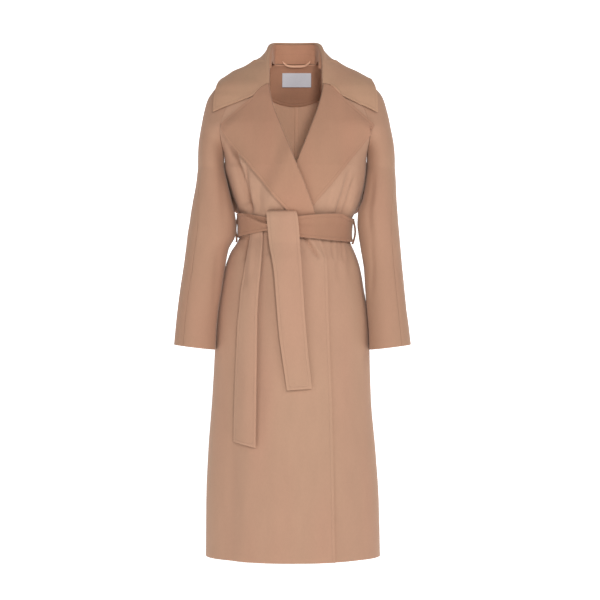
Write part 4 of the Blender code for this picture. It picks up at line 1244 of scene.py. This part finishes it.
def lapel_grid(side, end_z, rows, steps, columns):
    down = np.linspace(0.0, 1.0, rows)
    z = mix(ROLL_TOP_Z, end_z, down)
    x = free_edge(side, z)
    out, past = roll_frame(side, z)
    radius = roll_radius(z)
    centre = on_front(side, x, z, radius - CLOTH + lapel_lift(side, down))
    arc = fold_arc(centre, out, past, radius[:, None], steps)

    share = np.linspace(0.0, 1.0, columns)[None, :] + 0 * down[:, None]
    up = 1.0 - down[:, None] + 0 * share
    up, share = round_corner(up, share, *LAPEL_CORNER)
    down = 1.0 - up
    z = mix(ROLL_TOP_Z, end_z, down)
    x = free_edge(side, z)
    corner_x, corner_z = (by_side(LAPEL_EDGE, side, down, end) for end in ("_x", "_z"))
    first_x, first_z = (by_side(LAPEL_EDGE, side, 0.0, end) for end in ("_x", "_z"))
    top_x, top_z = notch_path(side, share, first_x, first_z)
    roll_x, roll_z = (by_side(GORGE, side, 0.0, end) for end in ("_x", "_z"))
    bend = (1 - down) ** 3
    at_x = mix(x, side * corner_x, share) + bend * (top_x - side * mix(roll_x, first_x, share))
    at_z = mix(z, corner_z, share) + bend * (top_z - mix(roll_z, first_z, share))
    bow = 1.6 * np.sin(np.pi * share) * smoothstep(down / 0.2) * smoothstep((1 - down) / 0.3)
    proud = LAPEL_PROUD * smoothstep((share - 0.35) / 0.65)
    proud = proud * smoothstep(down / 0.1) * smoothstep((0.92 - down) / 0.3)
    off = lapel_off(at_z, share) + lapel_lift(side, down) + bow + proud
    flat = on_front(side, at_x, at_z, off)
    grid = np.concatenate([np.array(arc).transpose(1, 0, 2), flat], axis=1)
    return grid[::-1], share[::-1]


LAPEL_ROWS, LAPEL_FOLD_COLUMNS, LAPEL_COLUMNS = 96, 10, 46
for side, name, end_z in ((RIGHT, "right", -346.0), (LEFT, "left", -314.0)):
    grid, shares = lapel_grid(side, end_z, LAPEL_ROWS, LAPEL_FOLD_COLUMNS, LAPEL_COLUMNS)
    grid = inset(grid, last_row=1.1)
    edge = edge_distance(grid, ("last_row", "last_column"))
    outer = edge_distance(grid, ("last_column",))
    fold_part = np.zeros((LAPEL_ROWS, LAPEL_FOLD_COLUMNS))
    beside_gorge = np.concatenate([fold_part, shares], axis=1) < NOTCH_SHARE
    make_cloth(name + "_lapel", grid, CLOTH, WOOL_TURNED, ["lapel_" + name],
               flip=side == RIGHT, edge=np.where(beside_gorge, outer, edge))

# %% [markdown]
# ## Inside the back neck
#
# A facing covers the top of the back, with a curved lower edge. On it are a blank woven
# label, sewn at its upper edge so that the lower one curls, and a hanger loop whose ends go
# into the neck seam. Below it the centre back seam shows, sewn down as a narrow fell.

# %% Facing, label and loop
FACING_HALF = 62.0
FACING_OFF = -2 * CLOTH - 0.7
LABEL_CLOTH, LABEL_GAP = 0.8, 0.8
LABEL_LEFT_X, LABEL_RIGHT_X, LABEL_TOP_Z, LABEL_HEIGHT = -32.0, 40.0, 15.0, 34.0
HANGER_MIDDLE_X, HANGER_HALF, HANGER_TOP_Z, HANGER_SAG = 3.0, 33.0, 41.0, 11.0
HANGER_CLOTH, HANGER_WIDTH = 2.4, 5.0
x = np.linspace(-FACING_HALF, FACING_HALF, 61)[None, :]
share = np.linspace(0.0, 1.0, 34)[:, None]
low = -66.0 + 16.0 * (x / FACING_HALF) ** 2
facing_z = mix(low, FACING_TOP_Z, share)
facing = on_body(BACK, x + 0 * share, facing_z, FACING_OFF)
make_cloth("neck_facing", facing, CLOTH, WOOL_FACING, ["back_neck_facing"],
           ("first_row",))

label_material, tree, shader = new_material("label_tape", {"Roughness": 0.55})
place = add_node(tree, "ShaderNodeTexCoord")
weave = add_node(tree, "ShaderNodeTexWave", wave_type="BANDS", bands_direction="Z")
set_inputs(weave, {"Scale": 900.0, "Distortion": 0.6})
tree.links.new(place.outputs["Object"], weave.inputs["Vector"])
ribs = weave.outputs["Fac"]
white = ramp_node(tree, ribs, srgb(214, 213, 220), srgb(232, 231, 237))
tree.links.new(white, shader.inputs["Base Color"])
tree.links.new(bump_node(tree, ribs, 0.3, 0.0002), shader.inputs["Normal"])

share = np.linspace(0.0, 1.0, 18)[:, None]
x = np.linspace(LABEL_LEFT_X, LABEL_RIGHT_X, 37)[None, :]
label_z = LABEL_TOP_Z - LABEL_HEIGHT * (1 - share) + 0 * x
curl = 3.0 * (1 - share) ** 2
label = on_body(BACK, x + 0 * share, label_z, FACING_OFF - LABEL_CLOTH - LABEL_GAP - curl)
make_cloth("blank_label", label, LABEL_CLOTH, label_material, ["label"],
           bevel=0.2)

share = np.linspace(-1.0, 1.0, 49)[None, :]
drop = np.linspace(0.0, HANGER_WIDTH, 7)[:, None]
x = HANGER_MIDDLE_X + HANGER_HALF * share + 0 * drop
hanging = 1 - share ** 4
loop_z = HANGER_TOP_Z - HANGER_SAG * hanging - drop
side = np.where(x >= 0, LEFT, RIGHT)
seam_turn = BACK_NECK_TURN * np.abs(x) / read(RAGLAN_BACK, "x", NECK_BACK_Z)
wall_y = neck_seam(side, seam_turn)[..., 1] - CLOTH - STAND_OFF
round_off = 0.8 * (drop / (HANGER_WIDTH / 2) - 1) ** 2
loop = point(x, wall_y - HANGER_CLOTH - 1.5 * hanging + round_off, loop_z)
loop = loop.transpose(1, 0, 2)[:, ::-1]
make_cloth("hanger_loop_strip", loop, HANGER_CLOTH, WOOL_INSIDE_PAINTED_LIGHT, ["hanger_loop"],
           flip=True, bevel=0.7, cut_width=NARROW_STRIP)

# %% [markdown]
# ## Belt
#
# One long doubled strip goes round the waist and ties at the front. Round the body it is a
# band that narrows to the knot, where it is gathered and folded over itself. The knot's
# outer stretch comes up behind, turns over the top and falls down the front in one piece
# with the hanging end.

# %% Belt sizes
BELT = table(
    "turn   height  lift  middle",
    (0.00,  44,  16.4, -6.0),
    (0.07,  56,  13.8, -5.0),
    (0.14,  62,  8.5, -5.5),
    (0.22,  54,  3.0, -11.0),
    (0.34,  55,  2.4, -8.0),
    (0.50,  57,  2.2, -4.0),
    (0.66,  57,  2.2, -1.0),
    (0.80,  55,  2.4, 1.5),
    (0.88,  52,  8.8, 2.0),
    (0.95,  38,  11.6, 1.5),
    (1.00,  26,  16.4, 0.5),
)
BELT_START_X, BELT_END_X, WAIST_HALF = -8.0, -44.0, 131.0
BELT_BEVEL = 1.4
FRONT_SLANT, SIDE_SLANT = -4.0, 12.0    # how much one corner of an end is lower
LOOP_CLOTH, LOOP_HALF_WIDTH, LOOP_STRIP = 4.6, 2.6, 0.0120
KNOT = table(
    "z     left  right",
    (-406, -52, 10.5), (-380, -54.5, 9), (-350, -57, 6.5), (-331, -58, 3),
)
KNOT_FRONT, KNOT_BACK, KNOT_BACK_RIGHT, KNOT_TOP_Z = 27.5, 11.4, -29.0, -331.0
END_FRONT = table(
    "z      left  right  off",
    (-406.5, -52, 10.5, 13.5),
    (-470,  -45,  15,  14),
    (-563,  -39,  21,  10),
    (-616,  -35,  25,  8),
    (-750,  -17.7, 38, 5),
)
END_SIDE = table(
    "z      left  right  off",
    (-372, -102, -72, 0.8),
    (-395, -103.5, -71, 1.6),
    (-430, -110, -73, 5),
    (-470, -117, -76, 7),
    (-563, -125, -82, 9),
    (-600, -130, -83, 8.5),
    (-694, -136, -84.5, 7),
    (-771, -140, -86, 6),
    (-872, -142.5, -87.5, 5),
)


# %% Belt band
def belt_ring(turn, z):
    start = np.arcsin(BELT_START_X / WAIST_HALF)
    end = 2 * np.pi + np.arcsin(BELT_END_X / WAIST_HALF)
    angle = mix(start, end, turn) % (2 * np.pi)
    side = np.where(angle < np.pi, LEFT, RIGHT)
    from_front = np.where(angle < np.pi, angle, 2 * np.pi - angle)
    face = np.where(from_front < np.pi / 2, FRONT, BACK)
    share = np.where(face == FRONT, from_front, np.pi - from_front) / (np.pi / 2)
    return body_point(side, face, z, share)


def belt_band_grid(columns, rows):
    turn = np.linspace(0.0, 1.0, columns)[None, :]
    across = np.linspace(-0.5, 0.5, rows)[:, None]
    z = BELT_MIDDLE_Z + read(BELT, "middle", turn) + across * read(BELT, "height", turn)
    way = unit(belt_ring(turn + 0.002, z) - belt_ring(turn - 0.002, z))
    out = point(way[..., 1], -way[..., 0], 0.0)
    crown = 0.8 * (1 - (2 * across) ** 2)
    off = read(BELT, "lift", turn) + BELT_CLOTH + crown

    # near the knot the band is folded: its upper part lies behind a slanting ridge
    ridge = mix(0.56, -0.10, (turn - 0.885) / 0.115)
    behind = smoothstep((across - ridge) / 0.07) * smoothstep((turn - 0.87) / 0.02)
    off = off - 6.4 * behind
    roll = np.exp(-(((across - ridge + 0.05) / 0.08) ** 2)) * smoothstep((turn - 0.88) / 0.03)
    off = off + 3.0 * roll
    gather = np.exp(-(((across + 0.20) / 0.09) ** 2)) * smoothstep((turn - 0.94) / 0.06)
    off = off - 2.0 * gather
    pull = np.exp(-(((across - 0.12) / 0.10) ** 2)) * smoothstep((0.10 - turn) / 0.10)
    off = off - 1.2 * pull
    return belt_ring(turn, z) + out * off[..., None]


SIDES_AND_END = ("first_row", "first_column", "last_column")
band = belt_band_grid(260, 26)
make_cloth("belt_round_waist", band, BELT_CLOTH, WOOL_ACROSS, ["belt_band"],
           ("first_row", "last_row"), bevel=BELT_BEVEL)


# %% [markdown]
# The front stretch is one strip: up behind the band, over the top and down to its slanted
# end. The path for the top part is a half circle seen from the side, and the lower part
# follows the front with a little air behind it.

# %% Front stretch of the belt
def off_front_level(x, z, off):
    way = outward(FRONT, x, z)
    way = unit(point(way[..., 0], way[..., 1], 0.0))
    lift = off + wrap_lift(x, z) + fold_height(x, z, FOLDS)
    return body_at_x(FRONT, x, z) + way * lift[..., None]


def knot_rows(across):
    radius = (KNOT_FRONT - KNOT_BACK) / 2
    centre_off, centre_z = (KNOT_FRONT + KNOT_BACK) / 2, KNOT_TOP_Z - radius
    path = [(KNOT_BACK, centre_z - drop) for drop in (9.0, 7.0, 4.0, 2.0)]
    for angle in np.pi * np.arange(13) / 12:
        path.append((centre_off - radius * np.cos(angle), centre_z + radius * np.sin(angle)))
    path += [(KNOT_FRONT + 1.0 * smoothstep((-339.0 - z) / 6.0), z)
             for z in np.arange(-341.0, -404.0, -3.0)]
    for off, z in path:
        left, right = read(KNOT, "left", z), read(KNOT, "right", z)
        right = mix(KNOT_BACK_RIGHT, right, smoothstep((off - KNOT_BACK) / radius - 0.6))
        x = mix(left, right, across)
        round_off = 1.5 * (2 * across - 1) ** 4 if off > centre_off else 0.0
        way = outward(FRONT, x, BELT_MIDDLE_Z + 0 * x)
        at = body_at_x(FRONT, x, BELT_MIDDLE_Z + 0 * x)
        at = at + way * np.asarray(off - round_off)[..., None]
        at[..., 2] = z
        yield at


def front_stretch_grid(columns):
    across = np.linspace(0.0, 1.0, columns)
    top = np.array(list(knot_rows(across)))
    heights = np.linspace(END_FRONT["z"][-1], END_FRONT["z"][0], 66)[:, None]
    x = mix(read(END_FRONT, "left", heights), read(END_FRONT, "right", heights), across)
    slant = FRONT_SLANT * across * smoothstep((-690.0 - heights) / 60.0)
    crown = 1.0 * (1 - (2 * across - 1) ** 2)
    off = read(END_FRONT, "off", heights) + BELT_CLOTH + crown
    low = off_front_level(x, heights - slant, off)
    step = top[-1][:, :2] - low[0][:, :2]
    low[..., :2] += step * smoothstep((heights + 480.0) / 74.0)[..., None]
    return np.concatenate([top, low])[::-1]


stretch = inset(front_stretch_grid(22), last_row=0)
make_cloth("belt_front_stretch", stretch, BELT_CLOTH, WOOL, ["belt_knot", "belt_end_front"],
           SIDES_AND_END, bevel=BELT_BEVEL)

# %% [markdown]
# The second end comes out below the band on the wearer's right and hangs lower. Two thin
# loops at the side seams keep the band in its place.

# %% Side end and loops
across = np.linspace(0.0, 1.0, 16)[None, :]
heights = np.linspace(END_SIDE["z"][0], END_SIDE["z"][-1], 100)[:, None]
x = mix(read(END_SIDE, "left", heights), read(END_SIDE, "right", heights), across)
slant = SIDE_SLANT * across * smoothstep((-790.0 - heights) / 82.0)
off = read(END_SIDE, "off", heights) + BELT_CLOTH + 1.0 * (1 - (2 * across - 1) ** 2)
side_end = inset(off_front_level(x, heights - slant, off))
make_cloth("belt_side_end", side_end, BELT_CLOTH, WOOL, ["belt_end_side"],
           SIDES_AND_END, bevel=BELT_BEVEL)

for side, name, top_z, low_z, y, stand in ((RIGHT, "right", -340.0, -402.0, -14.0, 3.6),
                                           (LEFT, "left", -345.0, -407.0, -10.0, 5.8)):
    share = np.linspace(0.0, 1.0, 60)[:, None]
    z = mix(low_z, top_z, share)
    forward = np.sqrt(1 - (y / by_face(BODY, FRONT, z)) ** 2)
    body_x = side * body_at_x(FRONT, side * by_side(BODY, side, z), z)[..., 0] * forward
    outer = by_side(BODY, side, BELT_MIDDLE_Z) * 0.985 + 3.4 + BELT_CLOTH + stand
    outer = outer * np.sqrt(1 - (y / 125.0) ** 2)
    arch = np.sin(np.pi * share) ** 0.5
    turn = np.linspace(-1.0, 1.0, 11)[None, :]
    x = mix(body_x, np.maximum(outer, body_x + 4.0), arch)
    x = side * (x + LOOP_CLOTH - 1.9 * turn ** 2)
    loop = point(x, y + LOOP_HALF_WIDTH * turn + 0 * x, z + 0 * x)
    make_cloth(name + "_belt_loop", loop, LOOP_CLOTH, WOOL_ACROSS, ["belt_loop_" + name],
               flip=side == RIGHT, bevel=BELT_BEVEL, cut_width=LOOP_STRIP)

# %% [markdown]
# ## Stitches
#
# Finished edges are held by small hand stitches. Each is a short thread that dips into the
# wool at both ends. One little shape is copied along every line.

# %% Stitch lines
def line_inside(grid, edge, border, distance):
    """Points at a distance inside a border, and a mark where no other edge is nearer."""
    if border in ("first_row", "last_row"):
        grid, edge = grid.transpose(1, 0, 2), edge.T
    if border in ("last_row", "last_column"):
        grid, edge = grid[:, ::-1], edge[:, ::-1]
    walked = lengths_along(grid, 1)
    places = []
    keep = []
    for line, far, near in zip(grid, walked, edge):
        i = int(np.clip(np.searchsorted(far, distance), 1, len(far) - 1))
        share = (distance - far[i - 1]) / max(far[i] - far[i - 1], 1e-9)
        places.append(mix(line[i - 1], line[i], share))
        keep.append(mix(near[i - 1], near[i], share) > distance - 0.8)
    return np.array(places), np.array(keep)


def add_stitches(points, faces, line, keep, outs, pitch=4.4, length=2.5):
    walked = np.concatenate([[0.0], np.cumsum(np.linalg.norm(np.diff(line, axis=0), axis=1))])
    for at in np.arange(pitch, walked[-1] - pitch, pitch):
        i = int(np.searchsorted(walked, at))
        if not (keep[i - 1] and keep[min(i, len(keep) - 1)]):
            continue
        share = (at - walked[i - 1]) / max(walked[i] - walked[i - 1], 1e-9)
        centre = mix(line[i - 1], line[i], share)
        way = unit(line[i] - line[i - 1])
        out = outs[i]
        across = np.cross(way, out)
        first = len(points)
        half = length / 2
        points += [centre - way * half - out * 0.5, centre + across * 0.3,
                   centre + out * 0.22, centre - across * 0.3,
                   centre + way * half - out * 0.5]
        for a, b in ((1, 2), (2, 3), (3, 1)):
            faces.append((first, first + b, first + a))
            faces.append((first + 4, first + a, first + b))


STITCHED = {
    "right_front": ("first_column",),
    "left_front": ("first_column",),
    "collar_top": ("last_row", "first_column", "last_column"),
    "right_lapel": ("last_row", "last_column"),
    "left_lapel": ("last_row", "last_column"),
    "belt_round_waist": ("first_row", "last_row"),
    "belt_front_stretch": SIDES_AND_END,
    "belt_side_end": SIDES_AND_END,
}
points, faces = [], []
for name, borders in STITCHED.items():
    grid, edge, flip = PANELS[name]
    normals = unit_normals(grid) * (-1 if flip else 1)
    for border in borders:
        line, keep = line_inside(grid, edge, border, STITCH_IN)
        outs = normals.transpose(1, 0, 2) if "row" in border else normals
        outs = outs[:, ::-1] if "last" in border else outs
        add_stitches(points, faces, line, keep, outs[:, 2])
print("stitches", len(points) // 5)

# %% Thread
thread, tree, shader = new_material("stitch_thread", {"Roughness": 0.8, "Sheen Weight": 0.2})
place = add_node(tree, "ShaderNodeTexCoord")
twist = noise_node(tree, place.outputs["Object"], (1.0, 1.0, 1.0), 900.0, 2.0)
tone = ramp_node(tree, twist, srgb(168, 122, 96), srgb(190, 146, 118))
tree.links.new(tone, shader.inputs["Base Color"])

mesh = bpy.data.meshes.new("hand_stitches")
mesh.from_pydata((np.array(points) * MM).tolist(), [], faces)
mesh.shade_smooth()
mesh.materials.append(thread)
stitches = bpy.data.objects.new("hand_stitches", mesh)
scene.collection.objects.link(stitches)
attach(stitches, "root")
